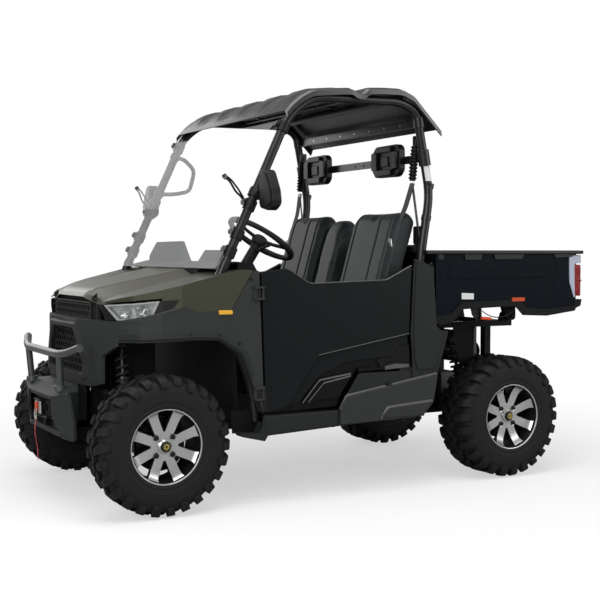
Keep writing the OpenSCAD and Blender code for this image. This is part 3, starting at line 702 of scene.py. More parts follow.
def lug_bars(width, spans, drift, breadth, height, turns, side):
    """Bars along the casing: a span of 0 is the crown's middle, 1 is the shoulder and each 0.1 more is
    10 mm down the side wall; drift is how far the path leans round the tyre, and side is 1 or -1."""
    line = resample(tyre_profile(width), 241)
    ahead = np.gradient(line, axis=0)
    outward = np.stack([ahead[:, 1], -ahead[:, 0]], 1)
    outward /= np.linalg.norm(outward, axis=1, keepdims=True)
    outward *= np.sign(outward[120, 0])
    length = np.linalg.norm(np.diff(tyre_profile(width), axis=0), axis=1).sum()
    share = np.asarray(spans)
    reach = np.minimum(share, 1) * (width / 2 - 12) + np.maximum(share - 1, 0) * 100
    pick = np.clip(np.round(120 + side * reach / length * 240).astype(int), 4, 236)
    base, normal = line[pick] - outward[pick] * 3, outward[pick]
    top = line[pick] + normal * np.asarray(height)[:, None]
    top[:, 0] = np.minimum(top[:, 0], TYRE_R)
    half = np.asarray(breadth) / 2
    lean = np.asarray(drift)
    corners = [(base, lean - half - FOOT_SPREAD), (top, lean - half + TOP_DRAW),
               (top, lean + half - TOP_DRAW), (base, lean + half + FOOT_SPREAD)]
    shape = np.stack([np.column_stack([radial, along / TYRE_R]) for radial, along in corners], 1)
    angle = shape[None, ..., 2] + np.asarray(turns)[:, None, None]
    radius = np.broadcast_to(shape[None, ..., 0], angle.shape)
    return np.stack([radius * np.cos(angle), np.broadcast_to(shape[None, ..., 1], angle.shape),
                     radius * np.sin(angle)], -1)


def tyre(name, node, body, x, width, side, finish):
    """A whole tyre about its axle at x, its outer face on the given side of the vehicle."""
    shape = Shape()
    profile = tyre_profile(width)
    inner = np.array([(172, width - 20), (280, width - 16), (290, width / 2), (280, 16), (172, 20)])
    ring = np.concatenate([profile, inner])
    ring = np.stack([ring[:, 0], TYRE_OUTER_Y - ring[:, 1]], 1)
    shape.lathe(ring, (x, 0, TYRE_R), steps=120)
    turn = 2 * np.pi / LUG_PAIRS
    starts = np.arange(LUG_PAIRS) * turn
    for half, shift in ((-1, 0.0), (1, turn / 4)):
        long_lug = dict(spans=(0.32, 0.52, 0.7, 0.86, 1.0, 1.12, 1.26), drift=(-6, 2, 10, 16, 20, 22, 22),
                        breadth=(30, 36, 42, 45, 45, 42, 34), height=(19, 20, 21, 21, 19, 15, 9))
        short_lug = dict(spans=(0.5, 0.64, 0.78, 0.9, 1.02, 1.14), drift=(6, 10, 14, 18, 20, 20),
                         breadth=(32, 38, 42, 44, 42, 36), height=(19, 20, 21, 20, 15, 8))
        shape_middle = dict(spans=(-0.04, 0.08, 0.2, 0.28), drift=(-14, -6, 2, 8),
                            breadth=(32, 38, 36, 28), height=(17, 17.5, 17.5, 17))
        for lug, offset in ((long_lug, 0), (short_lug, turn / 2), (shape_middle, turn / 4),
                            (shape_middle, turn * 3 / 4)):
            bars = lug_bars(width, turns=starts + offset + shift, side=half, **lug)
            bars[..., 1] = TYRE_OUTER_Y - bars[..., 1]
            shape.many(bars + (x, 0, TYRE_R))
    return shape.make(name, finish, body, [node], bevel=1.6, sides=side, slot="tyre")


wheels = []
for end, x, width in (("front", AXLE_X, 205), ("rear", -AXLE_X, 255)):
    for side in ("left", "right"):
        wheels.append((end, side, x, width))
        tyre(f"{end}_{side}_tread", f"{end}_{side}_tyre", f"{end}_{side}_wheel", x, width, side, tyre_rubber)
print("tyres:", made[-4:])

# %% [markdown]
# ## Rims
# The rim is cast, painted black all over, and then its face is turned bright on a lathe, so the
# bright metal is a thin skin on the spokes, the hub and the lip. It is modelled the same way: a
# black casting, and a bright skin a millimetre proud of it, cut a little narrower than the spokes.
# Four black nuts in pale seats and a black cap with a brass ring close the hub.

# %% Rims, nuts and caps
LIP_Y = 704.0
SPOKES = 8
NUT_CIRCLE = 55


def spoke_bars(radii, half_width, depth, thickness, flare):
    """Eight bars that run out from the hub, as a stack of grids in wheel coordinates."""
    radii, half, depth = np.asarray(radii, float), np.asarray(half_width, float), np.asarray(depth, float)
    corners = [(-half, depth), (half, depth), (half + flare, depth + thickness),
               (-half - flare, depth + thickness)]
    bar = np.stack([np.stack([radii, across, LIP_Y - inward], 1) for across, inward in corners], 1)
    angle = (np.arange(SPOKES) + 0.5) * 2 * np.pi / SPOKES
    cos, sin = np.cos(angle)[:, None, None], np.sin(angle)[:, None, None]
    x, z = bar[..., 0] * cos - bar[..., 1] * sin, bar[..., 0] * sin + bar[..., 1] * cos
    return np.stack([x, np.broadcast_to(bar[..., 2], x.shape), z], -1)


for end, side, x, width in wheels:
    depth = 31 if end == "front" else 46
    bright = front_metal if end == "front" else rear_metal
    body = f"{end}_{side}_wheel"
    hub = (x, 0, TYRE_R)
    barrel_end = LIP_Y - (width - 45 if end == "front" else width - 55)
    radii = (58, 70, 90, 120, 140, 150, 157)
    fall = np.array([0, 0, -1, -3, -8, -14, -20.0]) * (depth / 31)
    casting = Shape()
    casting.lathe([(161, LIP_Y - 2), (161, LIP_Y - 14), (154, LIP_Y - 30), (153, barrel_end + 8),
                   (160, barrel_end), (168, barrel_end), (168, barrel_end + 4), (158, barrel_end + 14),
                   (159, LIP_Y - 34), (167, LIP_Y - 16), (168, LIP_Y - 4)], hub)
    casting.many(spoke_bars(radii, (22, 22, 22.5, 23, 23.5, 26, 29), depth + fall, 15, 3) + hub)
    casting.lathe([(0.5, LIP_Y - depth), (64, LIP_Y - depth), (67, LIP_Y - depth - 4),
                   (67, LIP_Y - depth - 24), (40, LIP_Y - depth - 40), (0.5, LIP_Y - depth - 40)], hub,
                  closed=False)
    casting.lathe([(0.5, LIP_Y - depth - 50), (112, LIP_Y - depth - 50), (120, LIP_Y - depth - 58),
                   (120, LIP_Y - depth - 84), (0.5, LIP_Y - depth - 84)], hub, closed=False)
    casting.make(f"{end}_{side}_rim_casting", smooth_black, body, [f"{end}_{side}_rim"], bevel=1, sides=side,
                 slot="rim_alloy")
    skin = Shape()
    face_half = (20.5, 20.5, 21, 21.5, 22, 24.5, 27.5)
    skin.many(spoke_bars((61,) + radii[1:], face_half, depth - 1 + fall, 2, 0) + hub)
    skin.lathe([(26, LIP_Y - depth + 1.3), (65, LIP_Y - depth + 1.3), (65, LIP_Y - depth - 1),
                (26, LIP_Y - depth - 1)], hub)
    skin.lathe(rounded_outline([(161.5, LIP_Y - 3), (163, LIP_Y + 0.5), (168, LIP_Y + 1.5),
                                (170.5, LIP_Y - 1), (170, LIP_Y - 12), (166, LIP_Y - 12)], 2), hub)
    skin.make(f"{end}_{side}_rim_face", bright, body, bevel=0.6, sides=side, slot="rim_alloy")
    cap_y = LIP_Y - depth
    nuts, seats = Shape(), Shape()
    for k in range(4):
        angle = (k + 0.5) * math.pi / 2
        spot = (x + NUT_CIRCLE * math.cos(angle), 0, TYRE_R + NUT_CIRCLE * math.sin(angle))
        seats.lathe([(11, cap_y + 1), (15, cap_y + 1), (15, cap_y + 5), (11, cap_y + 4)], spot, steps=24)
        nuts.lathe([(0.4, cap_y), (11.5, cap_y), (11.5, cap_y + 10), (8, cap_y + 14), (0.4, cap_y + 14)],
                   spot, steps=6, closed=False)
    nuts.lathe([(0.5, cap_y), (25, cap_y), (25, cap_y + 6), (22, cap_y + 22), (18, cap_y + 25),
                (0.5, cap_y + 25)], hub, steps=48, closed=False)
    nuts.make(f"{end}_{side}_nuts_and_cap", smooth_black, body, bevel=0.8, sides=side, slot="rim_alloy")
    seats.lathe([(24, cap_y + 1), (33, cap_y + 1), (31, cap_y + 9), (24, cap_y + 14)], hub, steps=48)
    seats.make(f"{end}_{side}_nut_seats", bright_steel, body, sides=side, slot="rim_alloy")
    cap_ring = [(5, cap_y + 24), (14, cap_y + 24), (14, cap_y + 26.5), (11, cap_y + 27.5), (5, cap_y + 26)]
    Shape().lathe(cap_ring, hub, steps=40).make(
        f"{end}_{side}_cap_ring", brass, body, sides=side, slot="rim_alloy")
    valve = [(x + 112, LIP_Y - 26, TYRE_R + 96), (x + 116, LIP_Y - 8, TYRE_R + 99)]
    Shape().tube(valve, 4, (0, 0, 1), 10).make(f"{end}_{side}_valve", soft_rubber, body, sides=side)
print("rims and fittings are done")

# %% [markdown]
# ## Cage and bull bar
# Bent tube is one circle carried along a line with rounded corners. A bender leaves an even arc at
# each corner, so the line is rounded before the sweep; a curve object could do the same, but the
# swept grid keeps the wall's ends closed and square.

# %% The cage
def pillar_x(z):
    """Where the front pillar's middle line stands at a height."""
    return 657 - (z - 1090) * 351 / 743


def on_pillar(z):
    """The point of the front pillar's middle line at a height."""
    return pillar_x(z), CAGE_Y, z


hoop = [(478, 600, 386), (500, 600, 560), (596, 602, 800), (690, 622, 1020), (657, CAGE_Y, 1090),
        on_pillar(1811), (190, CAGE_Y, 1902), (-300, CAGE_Y, 1910), (-405, CAGE_Y, 1868),
        (-484, CAGE_Y, 1460), (-433, CAGE_Y, 1145), (-430, 610, 383)]
cage = Shape().tube(rounded(hoop, 75, 9), 22, sides=24)
for z in (1098, 1440):
    cage.tube([on_pillar(z), on_pillar(z + 26)], 25, sides=24)
for x, z in ((-478, 1490), (-462, 1330)):
    cage.tube([(x, CAGE_Y, z), (x - 5, CAGE_Y, z + 24)], 25, sides=24)
cage.mirrored()
for x, z in ((140, 1902.8), (-440, 1190), (-250, 1909.2)):
    cage.tube([(x, -618, z), (x, 0, z), (x, 618, z)], 19, (1, 0, 0), 20)
cage.make("cage_tubes", tube_paint, "chassis", ["roll_cage"], sides="whole", slot="frame_paint")
plates = Shape()
for x, z in ((140, 1903), (-250, 1909)):
    plates.prism([(x - 34, 566), (x + 34, 566), (x + 26, 606), (x - 26, 606)], "xy", z - 4, z + 4)
plates.pad([(-470, 1165), (-410, 1165), (-410, 1215), (-470, 1215)], 10, "xz", 596, 606)
plates.make("cage_gussets", tube_paint, "chassis", bevel=1.5, slot="frame_paint")
print("cage:", made[-2:])

# %% The bull bar
bar_line = [(1262, -425, 744), (1292, -330, 714), (1307, -250, 705), (1307, 250, 705), (1292, 330, 714),
            (1262, 425, 744)]
bumper = Shape().tube(rounded(bar_line, 55, 9), 19, (0, 0, 1), 24)
for side_sign in (1, -1):
    bumper.tube([(1305, 259 * side_sign, 702), (1292, 237 * side_sign, 500)], 16, sides=20)
bumper.make("bull_bar_tube", bar_paint, "chassis", ["bull_bar"], sides="whole", slot="bar_paint")

# %% The bumper's shell: a deck, a swept face on each side with its return, and a low bar
shell = Shape()
wing = np.array([[(1328, 186, 502), (1296, 352, 532)], [(1326, 190, 420), (1280, 368, 424)],
                 [(1298, 240, 330), (1272, 366, 320)]], float)
shell.slab_between(wing, wing - (12, 0, 0))
turned = np.array([[(1296, 352, 532), (1236, 318, 532)], [(1280, 368, 424), (1244, 330, 424)],
                   [(1272, 366, 320), (1248, 330, 320)]], float)
shell.slab_between(turned, turned - (0, 7, 0))
deck = np.array([[(1205, 216, 558), (1236, 318, 538)], [(1284, 236, 552), (1292, 346, 536)],
                 [(1327, 188, 506), (1296, 352, 532)]], float)
shell.slab_between(deck, deck - (0, 0, 8))
shell.prism([(1160, 196), (1288, 196), (1288, 204), (1160, 204)], "xy", 385, 550)
shell.tube([(1296, 260, 324), (1270, 362, 320), (1248, 330, 320)], 6, (0, 0, 1), 12)
shell.mirrored()
middle_deck = np.array([[(x, y, z) for y in (-side_y, side_y)] for x, side_y, z in
                        ((1205, 216, 558), (1284, 236, 552), (1327, 188, 506), (1322, 188, 494))], float)
shell.slab_between(middle_deck, middle_deck - (4, 0, 8))
shell.prism([(-244, 322), (244, 322), (236, 346), (-236, 346)], "yz", 1288, 1300)
shell.prism([(1170, -198), (1288, -198), (1288, 198), (1170, 198)], "xy", 385, 391)
shell.make("bumper_shell", plate_paint, "chassis", bevel=3, sides="whole", slot="bar_paint")

# %% The winch, its rope guide and the hook
collars = Shape()
for y in (235, -235):
    collars.lathe([(16, 536), (29, 536), (27, 560), (16, 562)], (1295, y, 0), (0, 0, 1), 24)
collars.make("bumper_collars", bar_paint, "chassis", bevel=1.5, sides="whole", slot="bar_paint")
gear = Shape()
for y in (-54, 4):
    gear.lathe([(0.5, 402), (10, 402), (10, 464), (0.5, 464)], (1322, y, 0), (0, 0, 1), 20, closed=False)
gear.tube([(1336, -34, 428), (1340, -36, 400), (1338, -30, 376), (1336, -18, 374), (1338, -12, 398),
           (1336, -14, 426)], 5, (1, 0, 0), 12)
gear.make("fairlead_rollers", bright_steel, "chassis", bevel=1, sides="whole", slot="trim_black")
cheeks = Shape()
for z in (394, 464):
    cheeks.pad([(-72, z), (22, z), (22, z + 9), (-72, z + 9)], 3, "yz", 1300, 1334)
cheeks.pad([(-90, 380), (40, 380), (40, 486), (-90, 486)], 8, "yz", 1296, 1304)
cheeks.make("fairlead_frame", smooth_black, "chassis", bevel=1, sides="whole", slot="trim_black")
spool = Shape()
spool.lathe([(0.5, -150), (58, -150), (58, -138), (34, -136), (34, 96), (58, 98), (58, 150), (0.5, 150)],
            (1222, 0, 442), steps=48, closed=False)
spool.pad([(1190, 392), (1256, 392), (1256, 486), (1190, 486)], 14, "xz", 98, 152)
spool.make("winch_drum", smooth_black, "chassis", bevel=2, sides="whole", slot="trim_black")
clevis = Shape().pad([(-38, 404), (-12, 404), (-10, 456), (-40, 456)], 6, "yz", 1316, 1340)
clevis.make("tow_hook", hook_paint, "chassis", ["winch_hook"], bevel=3, sides="whole", slot="hook_red")
strap = resample(rounded([(1338, -24, 380), (1340, -34, 330), (1336, -48, 300), (1330, -26, 236),
                          (1328, -30, 176)], 20, 6), 24)
Shape().ribbon(strap, (2, 11, 0), (0.9, 0, 0)).make(
    "tow_hook_strap", strap_red, "chassis", sides="whole", slot="hook_red")
print("bull bar and winch:", made[-7:])

# %% [markdown]
# ## Roof
# The roof is one vacuum-formed sheet. Seen from the side it rises from the front lip, runs nearly
# level with a notch half way, and drops at the rear; seen from the front it has long raised pads,
# and both edges turn down. A height over the plan gives all of that: the side line plus the pads
# plus the turned edge, each a smooth function.

# %% The roof sheet
def smooth(value, low, high):
    """A ramp from 0 to 1 between two limits, with soft ends."""
    share = np.clip((value - low) / (high - low), 0, 1)
    return share * share * (3 - 2 * share)


roof_line = np.array([(342, 1834), (312, 1868), (262, 1909), (199, 1942), (80, 1955), (-12, 1963),
                      (-38, 1944), (-84, 1944), (-106, 1970), (-200, 1976), (-297, 1978), (-365, 1951),
                      (-528, 1790)], float)
line = resample(rounded(roof_line, 16, 4), 150)
across = np.concatenate([np.linspace(-662, -632, 7), np.linspace(-628, 628, 97), np.linspace(632, 662, 7)])
x = np.broadcast_to(line[:, :1], (len(line), len(across)))
y = np.broadcast_to(across, x.shape)
pads = smooth(np.cos(y * 2 * np.pi / 262), -0.35, 0.25) * (np.abs(y) < 610)
front_pads = smooth(x, -20, 60) * (1 - smooth(x, 262, 330))
rear_pads = (1 - smooth(x, -150, -110)) * smooth(x, -420, -330)
edge = smooth(np.abs(y), 628, 662)
z = line[:, 1:] + 0 * y + pads * (9 * front_pads + 6 * rear_pads) - 5 - 30 * edge ** 2
Shape().plate(np.stack([x, y, z], -1), -4).make("roof_sheet", roof_black, "chassis", ["roof"], sides="whole",
                                               slot="roof_plastic", sharp=50)
lip = Shape()
rim_line = resample(rounded(roof_line - (0, 30), 16, 4), 120)
skirt = [np.insert(rim_line, 1, y_edge, 1) + (0, 0, rise) for y_edge, rise in ((662, 14), (664, -12))]
lip.plate(np.stack(skirt, 1), 5).make("roof_edge", roof_black, "chassis", bevel=1, slot="roof_plastic")
lining_line = resample(roof_line[3:-1] - (0, 22), 60)
lining_across = np.linspace(-600, 600, 49)
lx = np.broadcast_to(lining_line[:, :1], (60, 49))
ly = np.broadcast_to(lining_across, lx.shape)
dish = 7 * smooth(np.abs(np.sin(ly * np.pi / 400)), 0.1, 0.5)
dish = dish * smooth(np.abs(np.sin((lx + 45) * np.pi / 250)), 0.1, 0.4)
Shape().plate(np.stack([lx, ly, lining_line[:, 1:] + dish], -1), -3).make(
    "roof_lining", roof_inside, "chassis", sides="whole", slot="roof_plastic", sharp=50)
ribs = Shape()
for rib_y in (-400, 0, 400):
    strip = np.stack([np.insert(lining_line - (0, 10), 1, rib_y + reach, 1) for reach in (-12, 12)], 1)
    ribs.slab_between(strip + (0, 0, 10), strip)
for rib_x, rib_z in ((180, 1915), (-60, 1914), (-330, 1936)):
    ribs.block((rib_x - 14, -600, rib_z - 8), (rib_x + 14, 600, rib_z + 10))
ribs.make("roof_ribs", roof_black, "chassis", bevel=2, sides="whole", slot="roof_plastic")
print("roof:", made[-4:])

# %% [markdown]
# ## Hood
# The hood is a pressed panel with a flat middle, a crease on each side, and flanks that fall away
# to the wings. A side line gives its height along the vehicle and a drop gives it across, so the
# whole skin is one function of two parameters; a subdivided cage would round the creases away.

# %% The hood skin
hood_line = np.array([(684, 1089), (780, 1069), (1000, 1023), (1111, 1000), (1150, 985), (1166, 962)], float)
line = resample(rounded(hood_line, 14, 4), 60)
across = np.concatenate([np.linspace(-384, -378, 3), np.linspace(-372, 372, 75), np.linspace(378, 384, 3)])
hx = np.broadcast_to(line[:, :1], (len(line), len(across)))
hy = np.broadcast_to(across, hx.shape)
crease = 200 + (1150 - hx) * 0.10
drop = 34 * np.clip((np.abs(hy) - crease) / (384 - crease), 0, 1) + 22 * smooth(np.abs(hy), 374, 384)
drop = drop + 3 * smooth(np.abs(hy), crease - 4, crease + 2)
sweep = 0.16 * np.maximum(np.abs(hy) - 210, 0) * smooth(hx, 1000, 1166)
hood_surface = np.stack([hx - sweep, hy, line[:, 1:] - drop], -1)
Shape().plate(hood_surface, -4).make(
    "hood_skin", hood_paint_with_painted_reflection, "hood_body", ["hood"], bevel=0.8, sides="whole", slot="olive_paint", sharp=7)
brackets = Shape().prism([(1140, 985), (1160, 970), (1160, 950), (1144, 950)], "xz", 288, 312)
brackets.prism([(690, 1082), (720, 1076), (716, 1060), (690, 1064)], "xz", 150, 172)
brackets.make("hood_brackets", frame_paint, "hood_body", bevel=1, slot="olive_paint")
print("hood:", made[-2:])

# %% [markdown]
# ## Grille
# The grille is moulded honeycomb. Each cell owns three of its six walls, so a lattice of short
# walls covers the area without doubling any. Walls whose middle is outside the opening are dropped.

# %% Honeycomb
def inside(outline, y, z):
    """Whether points lie inside a convex outline given anticlockwise."""
    outline = np.asarray(outline, float)
    after = np.roll(outline, -1, 0) - outline
    sides_of = [after[k, 0] * (z - outline[k, 1]) - after[k, 1] * (y - outline[k, 0])
                for k in range(len(outline))]
    return np.min(sides_of, axis=0) > 0


def honeycomb(outline, x, pitch, wall, depth):
    """Walls of a flat honeycomb at x: every wall is a slab between two corners of a cell."""
    low, high = np.min(outline, 0), np.max(outline, 0)
    columns = np.arange(low[0] - pitch, high[0] + pitch, pitch)
    rows = np.arange(low[1] - pitch, high[1] + pitch, pitch * math.sqrt(3) / 2)
    y, z = np.meshgrid(columns, rows)
    y = y + (np.arange(len(rows))[:, None] % 2) * pitch / 2
    side_of_cell = pitch / math.sqrt(3)
    corner = np.radians(np.array([90, 150, 210, 270]))
    ends = np.stack([side_of_cell * np.cos(corner), side_of_cell * np.sin(corner)], 1)
    centres = np.stack([y, z], -1).reshape(-1, 1, 2)
    start, stop = (centres + ends[None, :3]).reshape(-1, 2), (centres + ends[None, 1:]).reshape(-1, 2)
    keep = inside(outline, *(start + stop).T / 2)
    start, stop = start[keep], stop[keep]
    along = (stop - start) / np.linalg.norm(stop - start, axis=1, keepdims=True)
    across_wall = np.stack([-along[:, 1], along[:, 0]], 1) * wall / 2
    flat = np.stack([start - across_wall, start + across_wall, stop + across_wall, stop - across_wall], 1)
    front = np.concatenate([np.full((*flat.shape[:2], 1), x), flat], -1)
    return np.stack([front, front - (depth, 0, 0)], 1)


mouth = [(262, 604), (272, 665), (175, 825), (-175, 825), (-272, 665), (-262, 604)]
strip = [(262, 864), (262, 938), (-262, 938), (-262, 864)]
mesh = Shape()
for outline, x, pitch, wall in ((mouth, 1184, 36, 6), (strip, 1163, 31, 5.5)):
    mesh.many(honeycomb(outline, x, pitch, wall, 3))
for outline, x in ((mouth, 1182), (strip, 1160)):
    for start, stop in zip(outline, outline[1:] + outline[:1]):
        mesh.tube([(x - 4, *start), (x - 4, *stop)], 5, (1, 0, 0), 8)
mesh.make("grille_honeycomb", grained, "chassis", ["grille_mesh"], sides="whole", slot="trim_black",
          sharp=30)
outer_ring = np.array([(312, 600), (326, 690), (196, 846), (-196, 846), (-326, 690), (-312, 600),
                       (-286, 580), (286, 580)], float)
inner_ring = np.array([(251, 617), (263, 660), (156, 816), (-156, 816), (-263, 660), (-251, 617),
                       (-249, 615), (249, 615)], float)
nose_y, nose_x = (0, 200, 290, 400), (1209, 1207, 1190, 1156)
rings = []
for share, proud in ((0, 0.5), (0.3, 9), (0.8, 9), (1, 2), (1, -28)):
    flat = outer_ring + (inner_ring - outer_ring) * share
    rings.append(np.column_stack([np.interp(np.abs(flat[:, 0]), nose_y, nose_x) + proud, flat]))
Shape().grid(np.stack(rings), around=True).make("fascia_surround", grained, "chassis", sides="whole",
                                                slot="body_plastic", sharp=20)
backing = Shape().prism([(-300, 590), (300, 590), (300, 840), (-300, 840)], "yz", 1140, 1143)
backing.prism([(-268, 862), (268, 862), (268, 972), (-268, 972)], "yz", 1138, 1141)
for y in (-288, 284):
    backing.prism([(1090, 590), (1174, 590), (1174, 850), (1090, 850)], "xz", y, y + 4)
for y in (-272, 268):
    backing.prism([(1100, 862), (1156, 862), (1146, 960), (1100, 960)], "xz", y, y + 4)
backing.make("grille_backing", grained_dark, "chassis", sides="whole", slot="trim_black")
print("grille:", made[-2:])

# %% [markdown]
# ## Headlamps
# The lamps wrap round the corner of the nose. Their outline is drawn in the side view, and a
# function bends each point onto the nose line in plan, moved in or out along the wall's normal. A
# pale frame, a dark bowl and two reflectors share that function, so they all follow the corner.

# %% Headlamps
nose_top_line = np.array([(460, 690), (880, 690), (965, 650), (1060, 560), (1150, 400), (1160, 343)], float)
nose_low_line = np.array([(460, 690), (880, 690), (965, 668), (1045, 610), (1108, 512), (1156, 400),
                          (1190, 290), (1207, 200)], float)


def on_nose(line, x, z, out):
    """The point at x and z on the wall over a plan line, moved out along its normal."""
    x, z, out = np.broadcast_arrays(np.asarray(x, float), z, out)
    y = np.interp(x, line[:, 0], line[:, 1])
    slope = (np.interp(x + 8, line[:, 0], line[:, 1]) - np.interp(x - 8, line[:, 0], line[:, 1])) / 16
    size = np.sqrt(1 + slope * slope)
    return np.stack([x - slope / size * out, y + out / size, z], -1)


def lamp_patch(corners, out, count=24):
    """A grid over a four-cornered patch of the side view: corners run top front, top rear, bottom
    rear, bottom front."""
    corners = np.asarray(corners, float)
    u, v = np.meshgrid(np.linspace(0, 1, count), np.linspace(0, 1, 6), indexing="ij")
    top = corners[0] + (corners[1] - corners[0]) * u[..., None]
    low = corners[3] + (corners[2] - corners[3]) * u[..., None]
    flat = top + (low - top) * v[..., None]
    return on_nose(nose_top_line, flat[..., 0], flat[..., 1], out)


def lamp_slab(shape, corners, near, far, count=24):
    """A slab over one patch, between two distances out from the wall."""
    return shape.slab_between(lamp_patch(corners, near, count), lamp_patch(corners, far, count))


outer = np.array([(1143, 933), (968, 956), (1000, 866), (1106, 866)], float)
window = np.array([(1136, 927), (978, 948), (1004, 872), (1103, 872)], float)
housing = Shape()
lamp_slab(housing, [(1150, 938), (900, 962), (940, 862), (1150, 862)], -38, -44)
lamp_slab(housing, [(968, 956), (888, 962), (952, 866), (1000, 866)], 1, -40)
lamp_slab(housing, [(1158, 937), (1143, 933), (1106, 866), (1140, 864)], 0, -40)
housing.make("lamp_housings", smooth_black, "chassis", ["front_lamps"], slot="trim_black")
bezel = Shape()
for k in range(4):
    after = (k + 1) % 4
    rim_patch = [outer[k], outer[after], window[after], window[k]]
    if k % 2:
        rim_patch = [outer[k], window[k], window[after], outer[after]]
    lamp_slab(bezel, rim_patch, 1.5, -10, 20)
lamp_slab(bezel, [(1066, 920), (1058, 920), (1048, 880), (1054, 880)], -6, -30)
lamp_slab(bezel, window, -28, -31)
bezel.make("lamp_frames", lamp_frame, "chassis", bevel=1, slot="lamp_clear")
bowls = Shape()
for x, z, size in ((1088, 902, 25), (1030, 908, 27)):
    spot = on_nose(nose_top_line, x, z, -8)
    aim = spot - on_nose(nose_top_line, x, z, -30)
    turned = [(size, 0), (size + 3, 0), (size + 3, -4), (size * 0.72, -16), (size * 0.3, -22), (0.5, -23),
              (0.5, -20), (size * 0.28, -19), (size * 0.66, -13)]
    bowls.lathe(turned, spot, aim, 40)
    bowls.lathe([(0.5, -20), (7, -20), (8, -12), (5, -8), (0.5, -7)], spot, aim, 24, closed=False)
bowls.make("lamp_bowls", reflector, "chassis", slot="lamp_clear")
lamp_slab(Shape(), window, -1, -3).make("lamp_covers", lamp_clear, "chassis", slot="lamp_clear")
marker = Shape().pad([(636, 892), (703, 892), (705, 911), (638, 911)], 5, "xz", 689, 697)
marker.make("side_markers", lens_amber, "chassis", bevel=1.5, slot="lamp_clear")
print("lamps:", made[-5:])

# %% [markdown]
# ## Fender crests, doors and side panels
# Moulded panels here are flat sheets with raised islands whose edges are chamfered, and those
# chamfers catch the light as thin bright lines; thin strips laid along them are also coloured in a
# paler plastic, which is painted highlight. Each island is an outline drawn out a few
# millimetres with a bevel on its rim, which is how the mould itself is cut.

# %% Fender crests
x = np.linspace(806, 1112, 44)
crest = np.interp(x, [806, 859, 960, 1045, 1112], [908, 938, 909, 884, 864])
foot = np.interp(x, [806, 955, 975, 1112], [903, 903, 858, 858])
low_wall = on_nose(nose_low_line, x, 0, 0.8)
high_wall = on_nose(nose_top_line, x, 0, -14)
ring = []
for wall, drop_by in ((low_wall, None), (low_wall, 5.0), (low_wall - (0, 6, 0), 0.0), (high_wall, 12.0),
                      (high_wall, None)):
    height = foot if drop_by is None else np.maximum(crest - drop_by, foot + 1)
    ring.append(np.stack([wall[:, 0], wall[:, 1], height], 1))
Shape().grid(np.stack(ring, 1), around=True, caps=True).make(
    "fender_crests", grained, "chassis", slot="body_plastic")
print("crests:", made[-1:])

# %% Doors
leaf = [(467, 429), (492, 1081), (354, 1096), (235, 1026), (-186, 1038), (-338, 1108), (-323, 770),
        (-338, 611), (-27, 605), (59, 489), (74, 436)]
upper = [(465, 433), (489, 1079), (354, 1094), (236, 1025), (-186, 1036), (-335, 1104), (-321, 772),
         (188, 688), (352, 456)]
island = [(268, 468), (178, 566), (10, 588), (78, 478), (190, 474)]
island_top = [(245, 471), (160, 553), (14, 579), (78, 482), (190, 477)]
ramp = [(352, 456), (188, 688), (-321, 772), (-324, 724), (-262, 706), (-227, 661), (30, 648), (130, 606),
        (176, 590), (290, 470)]
pocket = [(-139, 652), (-227, 660), (-262, 704), (-330, 722), (-334, 612), (-177, 594)]
for side in ("left", "right"):
    body = f"{side}_door_body"
    # The base and the low island take the darker lower-door black, which is partly painted shade.
    Shape().pad(leaf, 10, "xz", 660, 672).make(
        f"{side}_door_base", door_low, body, bevel=2.6, sides=side, slot="door_paint")
    skin = Shape().pad(upper, 12, "xz", DOOR_INNER_Y, 692).pad(ramp, 8, "xz", DOOR_INNER_Y, 678)
    skin.make(f"{side}_door_skin", door_paint, body, [f"{side}_door"], bevel=7, sides=side,
              slot="door_paint")
    low_island = Shape().pad(island, 8, "xz", DOOR_INNER_Y, 684).pad(island_top, 8, "xz", 670, 692)
    low_island.pad([(-30, 598), (-330, 606), (-330, 628), (-176, 612), (-34, 616)], 3, "xz", DOOR_INNER_Y,
                   690)
    low_island.make(f"{side}_door_island", door_low, body, bevel=6, sides=side, slot="door_paint")
    # The scoop takes the deepest black: partly the pocket's own plastic and partly painted shade inside the
    # hollow.
    grip_part = Shape().pad(pocket, 8, "xz", DOOR_INNER_Y, 679)
    grip_part.pad([(-300, 640), (-210, 634), (-190, 618), (-300, 622)], 5, "xz", 680, 690)
    grip_part.make(f"{side}_door_pocket", grained_dark, body, bevel=1.5, sides=side, slot="door_paint")
    trim = Shape().pad([(478, 440), (484, 560), (470, 560), (460, 440)], 4, "xz", 690, 694)
    for z in (505, 965):
        trim.tube([(508, 693, z), (508, 693, z + 40)], 5, sides=20)
    trim.make(f"{side}_door_hinges", smooth_black, body, bevel=1, sides=side, slot="door_paint")
print("doors:", made[-6:])

# %% Raised side panels
block = [(76, 352), (72, 434), (38, 486), (-185, 520), (-488, 566), (-462, 426), (-404, 366), (-334, 358)]
step = [(-150, 372), (-188, 414), (-452, 431), (-404, 372), (-334, 366)]
post = [(-362, 1120), (-348, 790), (-356, 640), (-372, 590), (-478, 590), (-530, 772), (-486, 800),
        (-464, 1092)]
panels = Shape().pad(block, 7, "xz", WALL_Y, 704).pad(step, 7, "xz", 690, 712)
panels.make("side_panel_steps", grained, "chassis", bevel=11, slot="body_plastic")
Shape().pad(post, 10, "xz", WALL_Y, 696).make(
    "side_panel_posts", grained_low, "chassis", bevel=6, slot="body_plastic")
seal = Shape().prism([(-316, 600), (-376, 600), (-376, 1084), (-316, 1084)], "xz", 633.5, 637)
seal.make("door_pillar_seals", grained_dark, "chassis", bevel=1, slot="body_plastic")


def chamfer(shape, path, y_low, y_high, fall):
    """A sloping strip along a line of the side view, from the upper wall out to the lower one."""
    upper = np.insert(resample(rounded(path, 8, 4), 40), 1, y_low, 1)
    strip_surface = np.stack([upper, upper + (0, y_high - y_low, -fall)], 1)
    return shape.slab_between(strip_surface + (0, 0.5, 0.5), strip_surface - (0, 1.5, 1.5))
